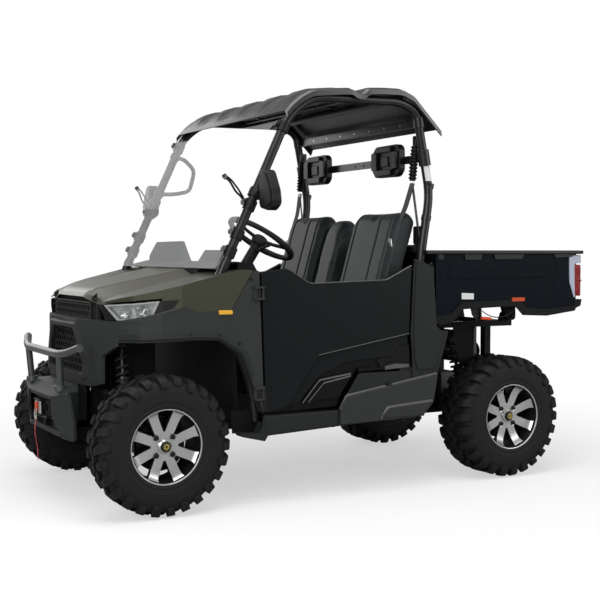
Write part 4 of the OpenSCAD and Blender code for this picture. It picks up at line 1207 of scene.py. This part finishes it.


# The chamfer strips below are painted highlight: their paler plastic stands in for the light caught along
# the panel edges.
edges = Shape()
chamfer(edges, [(75, 432), (40, 492), (-185, 526), (-486, 573)], 691, 704, 12)
chamfer(edges, [(-150, 372), (-188, 424), (-452, 441)], 704, 712, 10)
edges.make("side_panel_chamfers", painted_highlight_plastic, "chassis", slot="body_plastic")
arch = resample(rounded([(1104, 774), (842, 786), (701, 782), (588, 708), (548, 600)], 20, 5), 90)
away = arch - (AXLE_X, TYRE_R)
away /= np.linalg.norm(away, axis=1, keepdims=True)
lip_rows = []
for reach, out in ((-1, -8), (0, 3), (9, 7), (30, 0.6), (26, -3), (2, -9)):
    spot = arch + away * reach
    lip_rows.append(on_nose(nose_low_line, spot[:, 0], spot[:, 1], out))
Shape().grid(np.stack(lip_rows, 1), around=True, caps=True).make(
    "arch_lips", grained_low, "chassis", slot="body_plastic", sharp=20)

# %% Painted highlight lines, sills and fasteners
# The door's pale lines and the scoop's lower lip are painted highlight in the paler plastic.
for side in ("left", "right"):
    lines = Shape()
    for path, y_low, y_high, fall in (([(272, 470), (182, 572), (10, 594)], 684.5, 687, 7),
                                      ([(246, 472), (162, 558), (14, 584)], 691.5, 693, 7),
                                      ([(352, 1097), (236, 1028), (-186, 1039), (-334, 1108)], 689, 693, 4),
                                      ([(188, 690), (-321, 774)], 692, 692.6, 3)):
        chamfer(lines, path, y_low, y_high, fall)
    lines.pad([(-182, 600), (-182, 617), (-240, 627), (-322, 622), (-322, 608)], 4, "xz", WALL_Y, 691.5)
    lines.make(f"{side}_door_lines", painted_highlight_plastic, f"{side}_door_body", sides=side, slot="door_paint")
sill = Shape().pad([(468, 334), (86, 350), (86, 416), (468, 416)], 6, "xz", WALL_Y, 694)
sill.make("sill_steps", grained_low, "chassis", bevel=5, slot="body_plastic")
catch = Shape().pad([(-186, 512), (-214, 516), (-214, 538), (-186, 534)], 4, "xz", 692, 702)
catch.lathe([(0.4, 688), (9, 688), (9, 696), (5, 699), (0.4, 699)], (52, 0, 392), steps=20, closed=False)
catch.lathe([(0.4, 690), (7, 690), (7, 701), (0.4, 702)], (62, 0, 362), steps=20, closed=False)
for bolt_x, bolt_z in ((536, 500), (540, 1050), (600, 760), (700, 800), (840, 806), (-360, 1126),
                       (-452, 1112)):
    catch.lathe([(0.4, 688), (9, 688), (8, 693), (4, 695), (0.4, 695)], (bolt_x, 0, bolt_z), steps=20,
                closed=False)
catch.make("panel_fasteners", smooth_black, "chassis", bevel=0.8, slot="body_plastic")
print("side panels:", made[-3:])

# %% [markdown]
# ## Seats
# A seat back is foam under vinyl, so it has no flat face: it swells between its sewn edges. Each
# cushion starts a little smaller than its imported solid, is remeshed to even squares, and is blown
# up by a cloth simulation. The sewn channels come after that, as narrow valleys pressed into the
# swollen skin, because a remesh would lose them.

# %% Cushions
def start_cushion(name, outline, y0, y1, square=0.0085):
    """The slightly small closed form that the simulation swells, in squares of the given size. Its top
    corners are pulled down as the square of how far they lie from the cushion's middle."""
    work = Shape().pad(inset(outline, 11), 26, "xz", y0 + 11, y1 - 11)
    piece = work.make(name, seat_vinyl, "chassis", sides="whole", slot="vinyl")
    soften(piece, 24)
    piece.modifiers["edges"].segments = 4
    remesh = piece.modifiers.new("even_squares", "REMESH")
    remesh.mode = "VOXEL"
    remesh.voxel_size = square
    settle(piece)
    points = read_points(piece.data)
    from_middle = np.abs(points[:, 1] * 1000 - (y0 + y1) / 2)
    corner = np.clip((from_middle - (y1 - y0) / 2 + 76) / 76, 0, 1)
    points[:, 2] -= 0.05 * corner ** 2 * smooth(points[:, 2] * 1000, 1120, 1350)
    piece.data.vertices.foreach_set("co", points.ravel())
    return piece


def settle(piece):
    """Applies every modifier of a piece to its mesh."""
    graph = bpy.context.evaluated_depsgraph_get()
    mesh = bpy.data.meshes.new_from_object(piece.evaluated_get(graph), depsgraph=graph)
    old = piece.data
    piece.modifiers.clear()
    piece.data = mesh
    bpy.data.meshes.remove(old)


def read_points(mesh):
    """The places of a mesh's points as rows of an array."""
    points = np.empty(len(mesh.vertices) * 3)
    mesh.vertices.foreach_get("co", points)
    return points.reshape(-1, 3)


def swell(pieces, cap):
    """Blows up all the pieces in one run of 20 frames and holds each point within the cap."""
    for piece in pieces:
        cloth = piece.modifiers.new("swell", "CLOTH")
        cloth.settings.use_pressure = True
        cloth.settings.uniform_pressure_force = 4.0
        cloth.settings.effector_weights.gravity = 0.0
        cloth.settings.quality = 5
        cloth.point_cache.frame_start, cloth.point_cache.frame_end = 1, 20
    for number in range(1, 21):
        bpy.context.scene.frame_set(number)
    for piece in pieces:
        start = read_points(piece.data)
        settle(piece)
        moved = read_points(piece.data) - start
        size = np.linalg.norm(moved, axis=1, keepdims=True)
        held = np.minimum(1, cap / np.maximum(size, 1e-9))
        piece.data.vertices.foreach_set("co", (start + moved * held).ravel())
    bpy.context.scene.frame_set(1)


def sew(piece, seams, depth, half_width=0.007):
    """Presses a valley into the skin along each seam: a seam is a place in y with a span of z, or a
    height in z with a span of y, and the valley is depth * exp(-(distance / half_width)^2)."""
    divide = piece.modifiers.new("finer", "SUBSURF")
    divide.levels = divide.render_levels = 1
    settle(piece)
    mesh = piece.data
    points = read_points(mesh)
    normals = np.empty(len(points) * 3)
    mesh.vertices.foreach_get("normal", normals)
    normals = normals.reshape(-1, 3)
    millimetres = (points - SHIFT) * 1000
    press = np.zeros(len(points))
    for axis, place, low, high in seams:
        along = millimetres[:, 2 if axis == "y" else 1]
        away = millimetres[:, 1 if axis == "y" else 2] - place
        span = smooth(along, low - 12, low) * (1 - smooth(along, high, high + 12))
        press = np.maximum(press, span * np.exp(-(away / (half_width * 1000)) ** 2))
    facing = np.clip(normals[:, 0] * 1.2 + normals[:, 2] * 0.8, 0, 1)
    mesh.vertices.foreach_set("co", (points - normals * (press * facing)[:, None] * depth).ravel())
    mesh.shade_smooth()


back = [(-300, 866), (-205, 868), (-205, 900), (-334, 1345), (-366, 1390), (-420, 1393), (-446, 1368),
        (-322, 900)]
middle_back = [(-300, 866), (-208, 868), (-208, 900), (-330, 1316), (-362, 1356), (-420, 1360), (-442, 1335),
               (-322, 900)]
base = [(-298, 784), (-298, 874), (60, 884), (140, 864), (156, 792), (90, 784)]
cushions = [start_cushion("seat_back_driver", back, 112, 600),
            start_cushion("seat_back_passenger", back, -600, -154),
            start_cushion("seat_back_middle", middle_back, -150, 56),
            start_cushion("seat_base_driver", base, 112, 600, 0.012),
            start_cushion("seat_base_passenger", base, -600, 52, 0.012)]
swell(cushions, 0.013)
back_seams = [[("y", 196, 900, 1400), ("y", 420, 900, 1400), ("y", 520, 880, 1400), ("z", 960, 196, 420)],
              [("y", -500, 900, 1400), ("y", -330, 900, 1400), ("y", -236, 880, 1400),
               ("z", 960, -500, -330)], []]
for cushion, seams in zip(cushions, back_seams + [[("y", 230, -300, 2000), ("y", 480, -300, 2000)],
                                                  [("y", -150, -300, 2000), ("y", -480, -300, 2000)]]):
    sew(cushion, seams, 0.007, 0.005)
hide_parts("seat_backs")
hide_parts("seat_cushions")
print("cushions:", [(c.name, len(c.data.polygons)) for c in cushions])

# %% [markdown]
# ## Headrests and belts
# Each headrest is a firm black pad with cut corners and a framed hollow in its face. The belts hang
# from the rear pillars in corrugated sleeves, which are turned shapes whose radius ripples along
# the length; below a steel ring the webbing parts into two flat straps.

# %% Headrests and belts
pads = Shape()
for y in (-418, 322):
    face = [(y - 100, 1562), (y + 96, 1560), (y + 130, 1590), (y + 128, 1704), (y + 104, 1726),
            (y - 96, 1724), (y - 128, 1690), (y - 130, 1598)]
    pads.pad(face, 16, "yz", -457, -420)
    hollow = np.array([(y - 66, 1600), (y + 66, 1600), (y + 66, 1690), (y - 66, 1690)])
    for k in range(4):
        start, stop = hollow[k], hollow[(k + 1) % 4]
        toward = (start + stop) / 2 - (y, 1645)
        toward *= 52 / np.linalg.norm(toward)
        near, far = np.clip([start + toward, stop + toward], (y - 122, 1568), (y + 122, 1718))
        pads.prism([start, stop, far, near], "yz", -422, -404)
    pads.prism([(y - 40, 1615), (y + 30, 1615), (y + 30, 1668), (y - 40, 1668)], "yz", -422, -414)
pads.make("headrest_pads", smooth_black, "chassis", ["headrests"], bevel=5, sides="whole", slot="trim_black")
bar = Shape().pad([(-604, 1622), (604, 1622), (604, 1662), (-604, 1662)], 6, "yz", -466, -458)
for y in (-44, 44, -330, -500, 250, 400):
    bar.lathe([(0.4, 6), (8, 6), (8, 11), (0.4, 11)], (-466, y, 1641), (1, 0, 0), 6, closed=False)
bar.pad([(-604, 1793), (604, 1793), (604, 1837), (-604, 1837)], 6, "yz", -432, -425)
bar.prism([(-604, 1793), (604, 1793), (604, 1797), (-604, 1797)], "yz", -432, -414)
for y in (CAGE_Y, -CAGE_Y):
    bar.tube([(-457, y, 1602), (-442, y, 1680)], 30, sides=24)
    bar.tube([(-423, y, 1790), (-415, y, 1840)], 27, sides=24)
bar.make("headrest_rail", tube_paint, "chassis", ["headrest_bar"], bevel=1.5, sides="whole",
         slot="frame_paint")
dots = Shape()
for y in np.arange(-450, 451, 150):
    dots.lathe([(0.4, 0), (5, 0), (5, 1.2), (0.4, 1.2)], (-425.5, y, 1816), (1, 0, 0), 20, closed=False)
for y in (-44, 44):
    dots.lathe([(0.4, 0), (6, 0), (6, 2), (0.4, 2)], (-458.5, y, 1641), (1, 0, 0), 12, closed=False)
dots.make("rail_bolts", bright_steel, "chassis", sides="whole", slot="frame_paint")
sleeves, rings, straps = Shape(), Shape(), Shape()
for side_sign in (1, -1):
    belt_y = BELT_Y * side_sign
    top, low = np.array([-424, belt_y, 1700.0]), np.array([-409, belt_y, 1528.0])
    along = np.linspace(0, 1, 121)
    axis = (low - top) / np.linalg.norm(low - top)
    ripple = 17.5 + 3.4 * np.sin(along * 2 * np.pi * 10) + 2 * np.sin(along * np.pi)
    sleeves.lathe(np.stack([ripple, along * 172], 1), top, axis, 20, closed=False)
    sleeves.tube([top + (-6, 0, 34), top + (-3, 0, 16), top], 9, sides=12)
    sleeves.pad([(-452, 1700), (-412, 1700), (-412, 1752), (-452, 1752)], 8, "xz",
                  belt_y - 4, belt_y + 4)
    for drop in (-14, -26):
        rings.tube([low + (0, 18 * side_sign, drop), low + (0, -18 * side_sign, drop)], 4.5, (0, 0, 1), 12)
    front = [low + (0, 0, -14), (-380, 566 * side_sign, 1392), (-352, 556 * side_sign, 1330),
             (-300, 550 * side_sign, 1150), (-222, 545 * side_sign, 930)]
    rear = [low + (0, 0, -14), (-436, 598 * side_sign, 1290), (-448, 600 * side_sign, 1200)]
    for path, wide in ((front, (0, 21, 0)), (rear, (6, 18, 0))):
        straps.ribbon(resample(rounded(path, 24, 5), 40), wide, (1.1, 0, 0.4))
    rings.pad([(548 * side_sign - 20, 1196), (548 * side_sign + 20, 1196), (548 * side_sign + 12, 1240),
               (548 * side_sign - 12, 1240)], 6, "yz", -303, -299)
    sleeves.pad([(-474, 1210), (-428, 1210), (-428, 1302), (-474, 1302)], 12, "xz",
                  584 * side_sign - 18, 584 * side_sign + 16)
    sleeves.pad([(-326, 690), (-300, 690), (-300, 742), (-326, 742)], 8, "xz",
                  602 * side_sign - 4, 602 * side_sign + 4)
sleeves.make("belt_sleeves", smooth_black, "chassis", ["seat_belts"], bevel=1, sides="whole", slot="webbing",
             sharp=60)
rings.make("belt_rings", bright_steel, "chassis", bevel=0.8, sides="whole", slot="webbing")
straps.make("belt_straps", belt_web, "chassis", sides="whole", slot="webbing")
print("headrests and belts:", made[-6:])

# %% [markdown]
# ## Steering wheel, mirrors and dash
# The wheel is a ring with a soft round section that thickens at the grips, and three flat spokes
# that dish down to the hub. The mirrors are shells with a flat glass face behind, on a short arm
# that clamps the pillar. Round clamps with a knob hold the two halves of the windscreen.

# %% Steering wheel
hub_place = np.array([330, 357, 1227.0])
tilt = math.radians(33.6)
wheel_up = np.array([-math.sin(tilt), 0, math.cos(tilt)])
wheel_out = np.array([math.cos(tilt), 0, math.sin(tilt)])
wheel_side = np.array([0, 1.0, 0])


def on_wheel(radius, angle, height):
    """A point of the wheel's own round coordinates."""
    radius, angle, height = np.broadcast_arrays(np.asarray(radius, float), angle, height)
    return (hub_place + (radius * np.cos(angle))[..., None] * wheel_out + (radius * np.sin(angle))[..., None]
            * wheel_side + height[..., None] * wheel_up)


wheel = Shape()
turn = np.linspace(0, 2 * np.pi, 121)[:-1]
section = np.linspace(0, 2 * np.pi, 18, endpoint=False)
thick = 14.0 + 1.3 * np.cos(3 * turn)[:, None] + 0.5 * np.cos(turn * 60)[:, None] * (np.cos(section) < 0)
ring_grid = on_wheel(168.5 + thick * np.cos(section), turn[:, None], 10 + thick * np.sin(section))
wheel.grid(np.concatenate([ring_grid, ring_grid[:1]]), around=True)
for angle in np.radians([0, 120, 240]):
    reach = np.array([24, 50, 90, 130, 160.0])
    half_angle = np.array([22, 16, 12, 13, 18.0]) / np.maximum(reach, 24)
    level = np.array([4, 2, 3, 7, 10.0])
    corners = [on_wheel(reach, angle + side * half_angle, level + rise)
               for side, rise in ((-1, -5), (1, -5), (1, 5), (-1, 5))]
    wheel.grid(np.stack(corners, 1), around=True, caps=True)
wheel.lathe([(0.5, 24), (20, 24), (30, 20), (40, 8), (42, -4), (36, -24), (10, -26), (10, 10), (0.5, 10)],
            hub_place, wheel_up, 48, closed=False)
wheel.make("steering_rim", soft_rubber, "steering_wheel_body", ["steering_wheel"], bevel=1.5, sides="whole",
           slot="grip_rubber")
column_parts = Shape()
for start, stop, radius in ((-26, -160, 27), (-150, -166, 34), (-166, -330, 20)):
    column_parts.tube([hub_place + wheel_up * start, hub_place + wheel_up * stop], radius, sides=28)
for start, stop, radius in (((-60, 30, 0), (-40, 130, 10), 6), ((-40, 112, 8), (-38, 136, 10), 10)):
    stalk = [hub_place + wheel_up * along + (0, y, z) for along, y, z in (start, stop)]
    column_parts.tube(stalk, radius, (0, 0, 1), 12)
column_parts.make("column_shroud", smooth_black, "chassis", bevel=1.5, sides="whole", slot="trim_black")
print("steering:", made[-2:])

# %% Mirrors, screen clamps and arms
mirror_face = [(674, 1392), (690, 1372), (764, 1358), (806, 1380), (813, 1402), (802, 1452), (752, 1538),
               (730, 1545), (690, 1545), (676, 1530)]
shell = Shape().pad(mirror_face, 12, "yz", 448, 494)
shell.pad(inset(mirror_face, 14), 10, "yz", 490, 500)
shell.tube([(476, 655, 1440), (476, 668, 1440), (476, 684, 1436)], 13, (0, 0, 1), 20)
shell.tube([on_pillar(1422), on_pillar(1462)], 30.5, sides=28)
shell.lathe([(0.5, 26), (18, 26), (20, 34), (12, 40), (0.5, 40)], on_pillar(1442), (0, 1, 0), 24,
            closed=False)
shell.make("mirror_shells", smooth_black, "chassis", ["mirrors"], bevel=7, slot="trim_black")
Shape().pad(inset(mirror_face, 9), 10, "yz", 443, 448.5).make(
    "mirror_glass", mirror_glass, "chassis", bevel=0.8, slot="screen")
clamps = Shape()
for z in (1150, 1230, 1365, 1730):
    clamps.tube([on_pillar(z), on_pillar(z + 44)], 29, sides=28)
    ahead = np.array([pillar_x(z + 44) - pillar_x(z), 0, 44.0])
    ahead /= np.linalg.norm(ahead)
    outward = np.array([ahead[2], 0, -ahead[0]])
    middle_point = np.array(on_pillar(z + 22))
    for side_y in (-12, 12):
        clamps.tube([middle_point + outward * 26 + (0, side_y, 0),
                     middle_point + outward * 44 + (0, side_y, 0)], 5, sides=12)
    knob = [(0.5, 28), (15, 28), (17, 32), (17, 40), (12, 44), (0.5, 44)]
    clamps.lathe(knob, middle_point, outward, 24, closed=False)
arm_outer = rounded([(533, 600, 1388), (544, 600, 1424), (574, 598, 1448), (600, 584, 1500),
                     (622, 566, 1518)], 14, 5)
arm_inner = rounded([(533, 588, 1392), (528, 588, 1418), (556, 586, 1462), (590, 578, 1506),
                     (612, 566, 1524)], 14, 5)
clamps.tube(arm_outer, 5.2, sides=10).tube(arm_inner, 4.6, sides=10)
clamps.lathe([(0.5, -8), (13, -8), (13, 8), (0.5, 8)], (615, 568, 1518), (1, 0, -0.6), 20, closed=False)
clamps.make("screen_clamps", smooth_black, "chassis", ["windscreen_clamps"], bevel=1, slot="trim_black")
handle = [(369, -CAGE_Y, 1702), (330, -590, 1690), (268, -584, 1630), (300, -584, 1510), (400, -590, 1492),
          (466, -CAGE_Y, 1494)]
grab = Shape().tube(rounded(handle, 34, 8), 11.5, (0, 1, 0.2), 18)
for z in (1690, 1482):
    grab.tube([(pillar_x(z), -CAGE_Y, z), (pillar_x(z + 26), -CAGE_Y, z + 26)], 27.5, sides=28)
grab.make("grab_bar", tube_paint, "chassis", ["grab_handle"], sides="whole", slot="frame_paint")
print("mirrors and clamps:", made[-4:])

# %% [markdown]
# ## Cargo bed
# The bed's side is a pressed sheet. Its long ribs are swages, raised a few millimetres with soft
# edges, and the lower edge carries a heavier grey skirt that steps up over the wheel. The black top
# rail is a folded channel with a round end, and tabs hang from it over the sheet.

# %% Bed sheets and rail
side_line = [(-481, 1163), (-481, 813), (-590, 827), (-646, 884), (-986, 893), (-1039, 844), (-1195, 837),
             (-1390, 859), (-1400, 1163)]
sheet = Shape().prism(side_line, "xz", WALL_Y, 687.5)
for rib_low, rib_high, front_x, rear_x in ((1076, 1088, -700, -1226), (1040, 1050, -578, -1196)):
    sheet.pad([(front_x, rib_low), (rear_x, rib_low + 4), (rear_x - 14, rib_high + 2),
               (front_x + 14, rib_high)], 5, "xz", 685, 692)
sheet.pad([(-556, 1034), (-1226, 1040), (-1244, 1094), (-560, 1094)], 10, "xz", 686, 690)
sheet.pad([(-1262, 1128), (-1330, 1130), (-1376, 934), (-1300, 900), (-1246, 1000)], 12, "xz", 685, 689)
sheet.prism([(-481, 813), (-481, 1163), (-495, 1163), (-495, 815)], "xz", 684, 693)
sheet.make("bed_side_sheets", bed_paint, "bed", ["bed_box"], bevel=2.4, slot="bed_paint")
bowl = Shape()
bowl.block((-484, -684, 813), (-481, 684, 1163)).block((-1398, -684, 896), (-483, 684, 899))
bowl.block((-1412, -600, 866), (-1394, 600, 871)).block((-1397, -600, 866), (-1394, 600, 898))
for y in np.arange(-600, 601, 100):
    bowl.pad([(-1380, y - 22), (-500, y - 22), (-500, y + 22), (-1380, y + 22)], 10, "xy", 897, 906)
for y in (-420, -140, 140, 420):
    bowl.pad([(y - 100, 940), (y + 100, 940), (y + 100, 1120), (y - 100, 1120)], 16, "yz", -485, -477)
bowl.make("bed_floor_and_front", bed_paint, "bed", bevel=2, sides="whole", slot="bed_paint")
skirt = Shape().prism([(-486, 812), (-590, 826), (-646, 883), (-986, 892), (-1039, 843), (-1195, 836),
                       (-1390, 858), (-1390, 886), (-1200, 872), (-1060, 880), (-1004, 926), (-640, 918),
                       (-580, 862), (-486, 848)], "xz", 683, 694)
skirt.prism([(-500, 806), (-586, 820), (-560, 842), (-500, 830)], "xz", 660, 697)
skirt.pad([(-1386, 914), (-1438, 920), (-1430, 884), (-1386, 868)], 6, "xz", 606, 693)
skirt.prism([(-500, 799), (-500, 897), (-1320, 897), (-1320, 799), (-1262, 799), (-1240, 868), (-812, 868),
             (-790, 799)], "xz", 246, 276)
skirt.pad([(-1330, 890), (-1330, 800), (-1316, 788), (-1284, 788), (-1270, 800), (-1270, 890)], 6, "xz",
            248, 274)
skirt.prism([(-1396, 603), (-1398, 603), (-1398, 690), (-1396, 690)], "xy", 862, 1158)
skirt.make("bed_skirts", grained_dark, "bed", bevel=3, slot="bed_paint")
rail = Shape()
profile = rounded_outline([(668, 1161), (700, 1161), (702, 1168), (698, 1181), (672, 1181)], 4)
rail.prism(profile, "yz", -1416, -424)
rail.lathe([(0.5, 1162), (15, 1162), (16, 1170), (13, 1180), (0.5, 1181)], (-1414, 685, 0), (0, 0, 1), 24,
           closed=False)
rail.tube([(-1420, 690, 1171), (-1434, 690, 1171)], 9, sides=16)
for tab in ([(-490, 1162), (-524, 1162), (-530, 1134), (-498, 1134)],
            [(-655, 1162), (-767, 1162), (-762, 1132), (-660, 1132)],
            [(-841, 1162), (-1040, 1162), (-1028, 1136), (-850, 1134)],
            [(-1240, 1162), (-1380, 1162), (-1370, 1146), (-1250, 1142)]):
    rail.pad(tab, 5, "xz", 688, 694)
for x_end, x_inner in ((-1440, -1426), (-421, -435)):
    rail.prism([(x_end, 668), (x_inner, 668), (x_inner, 700), (x_end, 700)], "xy", 1162, 1180)
rail.make("bed_top_rails", smooth_black, "bed", ["bed_rails"], bevel=2, slot="trim_black")
Shape().pad([(-508, 1161), (-476, 1161), (-476, 1181), (-508, 1181)], 5, "xz", -668, 668).make(
    "bed_front_rail", smooth_black, "bed", bevel=2, sides="whole", slot="trim_black")
print("bed:", made[-5:])

# %% Tailgate, lamps, markers and labels
gate = Shape().pad([(-590, 900), (590, 900), (590, 1156), (-590, 1156)], 8, "yz", -1420, -1408)
for y in (-380, 0, 380):
    gate.pad([(y - 165, 930), (y + 165, 930), (y + 165, 1112), (y - 165, 1112)], 18, "yz", -1426, -1418)
gate.pad([(-1424, 1136), (-1404, 1136), (-1404, 1156), (-1424, 1156)], 5, "xz", -588, 588)
for y in (-580, 580):
    gate.tube([(-1420, y - 8, 884), (-1420, y + 8, 884)], 10, (0, 0, 1), 20)
    gate.block((-1426, y - 8, 884), (-1410, y + 8, 906))
gate.make("tailgate_skin", bed_paint, "tailgate_body", ["tailgate"], bevel=2.4, sides="whole",
          slot="bed_paint")
latch = Shape().pad([(-60, 1044), (60, 1044), (60, 1094), (-60, 1094)], 10, "yz", -1430, -1422)
latch.tube(rounded([(-1424, -44, 1068), (-1440, -40, 1068), (-1440, 40, 1068), (-1424, 44, 1068)], 8, 4), 5,
           (0, 0, 1), 12)
latch.make("tailgate_handle", smooth_black, "tailgate_body", bevel=1.5, sides="whole", slot="trim_black")
lamp_side = [(-1349, 1156), (-1424, 1152), (-1424, 1132), (-1384, 1106), (-1390, 934), (-1384, 930),
             (-1352, 1010)]
lamp_shell = Shape().pad(lamp_side, 5, "xz", 682, 693)
lamp_shell.pad([(-1400, 1158), (-1430, 1156), (-1430, 1112), (-1400, 1112)], 5, "xz", 606, 692)
lamp_shell.make("tail_lamp_housings", lens_pale, "bed", bevel=3, slot="lamp_red")
red = Shape().pad([(-1386, 1106), (-1433, 1104), (-1433, 936), (-1392, 938)], 8, "xz", 606, 690)
red.make("tail_lamp_lenses", lens_red, "bed", ["tail_lights"], bevel=5, slot="lamp_red")
ribs_on_lamp = Shape()
for z in np.arange(952, 1096, 12.0):
    ribs_on_lamp.tube([(-1400, 690.5, z), (-1428, 690.5, z)], 2.2, (0, 0, 1), 8)
ribs_on_lamp.tube([(-1390, 691, 1020), (-1433, 691, 1020)], 4, (0, 0, 1), 8)
ribs_on_lamp.make("tail_lamp_prisms", lens_red, "bed", slot="lamp_red")
marker = Shape().pad([(-962, 916), (-1045, 916), (-1045, 936), (-962, 936)], 5, "xz", 688, 696)
marker.make("rear_side_markers", lens_orange, "bed", bevel=2, slot="lamp_red")
labels = Shape().prism([(-643, 934), (-718, 932), (-718, 962), (-643, 966)], "xz", 687, 688.6)
labels.make("bed_labels", label_white, "bed", sides="left", slot="bed_paint")
hanger_path = rounded([(-790, 648, 894), (-790, 652, 836), (-800, 662, 832)], 10, 5)
hanger = Shape().tube(hanger_path, 7, (0, 0.3, 1), 14)
hanger.pad([(-730, 896), (-800, 896), (-800, 826), (-770, 818), (-742, 850)], 8, "xz", 640, 648)
hanger.make("bed_release_hangers", smooth_black, "bed", bevel=1, slot="release_orange")
Shape().tube([(-786, 662, 833), (-842, 672, 829)], 8, (0, 0, 1), 14).make(
    "bed_release_levers", release_orange, "bed", ["bed_release"], bevel=1, slot="release_orange")
arc = np.linspace(0, 1, 30)
cable = np.stack([-784 - 202 * arc, 672 + 0 * arc, 872 - 34 * np.sin(np.pi * arc) ** 0.8 - 6 * arc], 1)
Shape().tube(cable, 2.6, sides=8).make("release_cables", soft_rubber, "bed", slot="trim_black")
angles = np.linspace(math.radians(35), math.radians(125), 9)
label_path = resample(np.array([(-405 - (1868 - z) * 79 / 408, CAGE_Y, z) for z in (1640, 1526)], float), 6)
label_arc = 22.6 * np.stack([np.cos(angles), np.sin(angles), 0 * angles], 1)
Shape().plate(label_path[:, None] + label_arc, -0.8).make(
    "pillar_label", label_white, "chassis", sides="left", slot="frame_paint")
print("rear details:", made[-10:])

# %% [markdown]
# ## Springs, arms and guards
# A coil-over shock is a helix of wire round a damper: the helix is a circle swept along a screw
# line, with its end turns closed. Rubber boots on the drive shafts ripple like the belt sleeves.

# %% Coil shocks
shocks, dampers = Shape(), Shape()
for low, high, coil_r, wire in (((1033, 395, 296), (1033, 318, 798), 28, 6),
                                ((-902, 395, 297), (-812, 360, 725), 29, 6.5)):
    low, high = np.array(low, float), np.array(high, float)
    length = np.linalg.norm(high - low)
    axis = (high - low) / length
    side_a = np.cross(axis, (0, 1, 0))
    side_a /= np.linalg.norm(side_a)
    side_b = np.cross(axis, side_a)
    share = np.linspace(0, 1, 221)
    turns_done = 8.5 * (share - 0.06 * np.sin(2 * np.pi * share))
    angle = turns_done * 2 * np.pi
    along = (0.24 + 0.62 * share) * length
    wound = np.cos(angle)[:, None] * side_a + np.sin(angle)[:, None] * side_b
    helix = low + along[:, None] * axis + coil_r * wound
    shocks.tube(helix, wire, axis, 10)
    dampers.lathe([(0.5, 8), (11, 8), (11, 0.22 * length), (33, 0.22 * length), (33, 0.24 * length),
                   (21, 0.25 * length), (21, 0.6 * length), (10, 0.61 * length), (10, 0.86 * length),
                   (33, 0.87 * length), (33, 0.89 * length), (14, 0.9 * length), (14, length - 10),
                   (0.5, length - 10)], low, axis, 32, closed=False)
    for spot in (low, high):
        dampers.lathe([(5, -16), (14, -16), (14, 16), (5, 16)], spot, (1, 0, 0), 24)
shocks.make("shock_springs", spring_black, "chassis", ["shock_absorbers"], slot="shock_steel")
dampers.make("shock_dampers", dark_steel, "chassis", bevel=1, slot="shock_steel")


def drive_boot(shape, x, y0, y1, wide_at_end):
    """A rippled cone about the shaft: the radius grows from 22 to 36 mm plus 3.2 * sin(10 * pi * t)."""
    along = np.linspace(0, 1, 61)
    ripple = 22 + 14 * (along if wide_at_end else 1 - along) + 3.2 * np.sin(along * 2 * np.pi * 5)
    return shape.lathe(np.stack([ripple, y0 + along * (y1 - y0)], 1), (x, 0, TYRE_R), steps=32, closed=False)


def brake_disc(shape, x):
    """A flat steel ring about the axle at x."""
    return shape.lathe([(40, 590), (96, 590), (96, 595), (40, 595)], (x, 0, TYRE_R), steps=64)


boots = drive_boot(Shape(), AXLE_X, 300, 372, True)
drive_boot(boots, -AXLE_X, 300, 372, True)
drive_boot(boots, -AXLE_X, 520, 585, False).make("drive_boots", soft_rubber, "chassis", slot="trim_black")
brake_disc(Shape(), -AXLE_X).make("rear_brake_discs", dark_steel, "chassis", slot="cast_grey")
for side in ("left", "right"):
    drive_boot(Shape(), AXLE_X, 520, 585, False).make(
        f"{side}_outer_boot", soft_rubber, f"{side}_steer", sides=side, slot="trim_black")
    brake_disc(Shape(), AXLE_X).make(f"{side}_brake_disc", dark_steel, f"{side}_steer", sides=side,
                                     slot="cast_grey")
flap = Shape().prism([(-770, 790), (-899, 790), (-903, 674), (-912, 607), (-886, 562), (-820, 560),
                      (-776, 700)], "xz", 438, 442)
flap.make("rear_mud_guards", grained_dark, "chassis", bevel=1, slot="trim_black")
liner = Shape().prism([(866, 560), (1040, 520), (1060, 640), (1040, 790), (866, 790)], "xz", 326, 330)
liner.prism([(440, 322), (598, 336), (606, 440), (440, 440)], "xz", 600, 604)
liner.make("front_inner_liners", grained_dark, "chassis", bevel=1, slot="trim_black")
print("running gear:", made[-9:])

# %% [markdown]
# ## Finishing
# Last comes a count of the pieces made and of their faces.

# %% Count of pieces and faces
print("pieces made:", len(made), "faces:", sum(count for _, count in made))
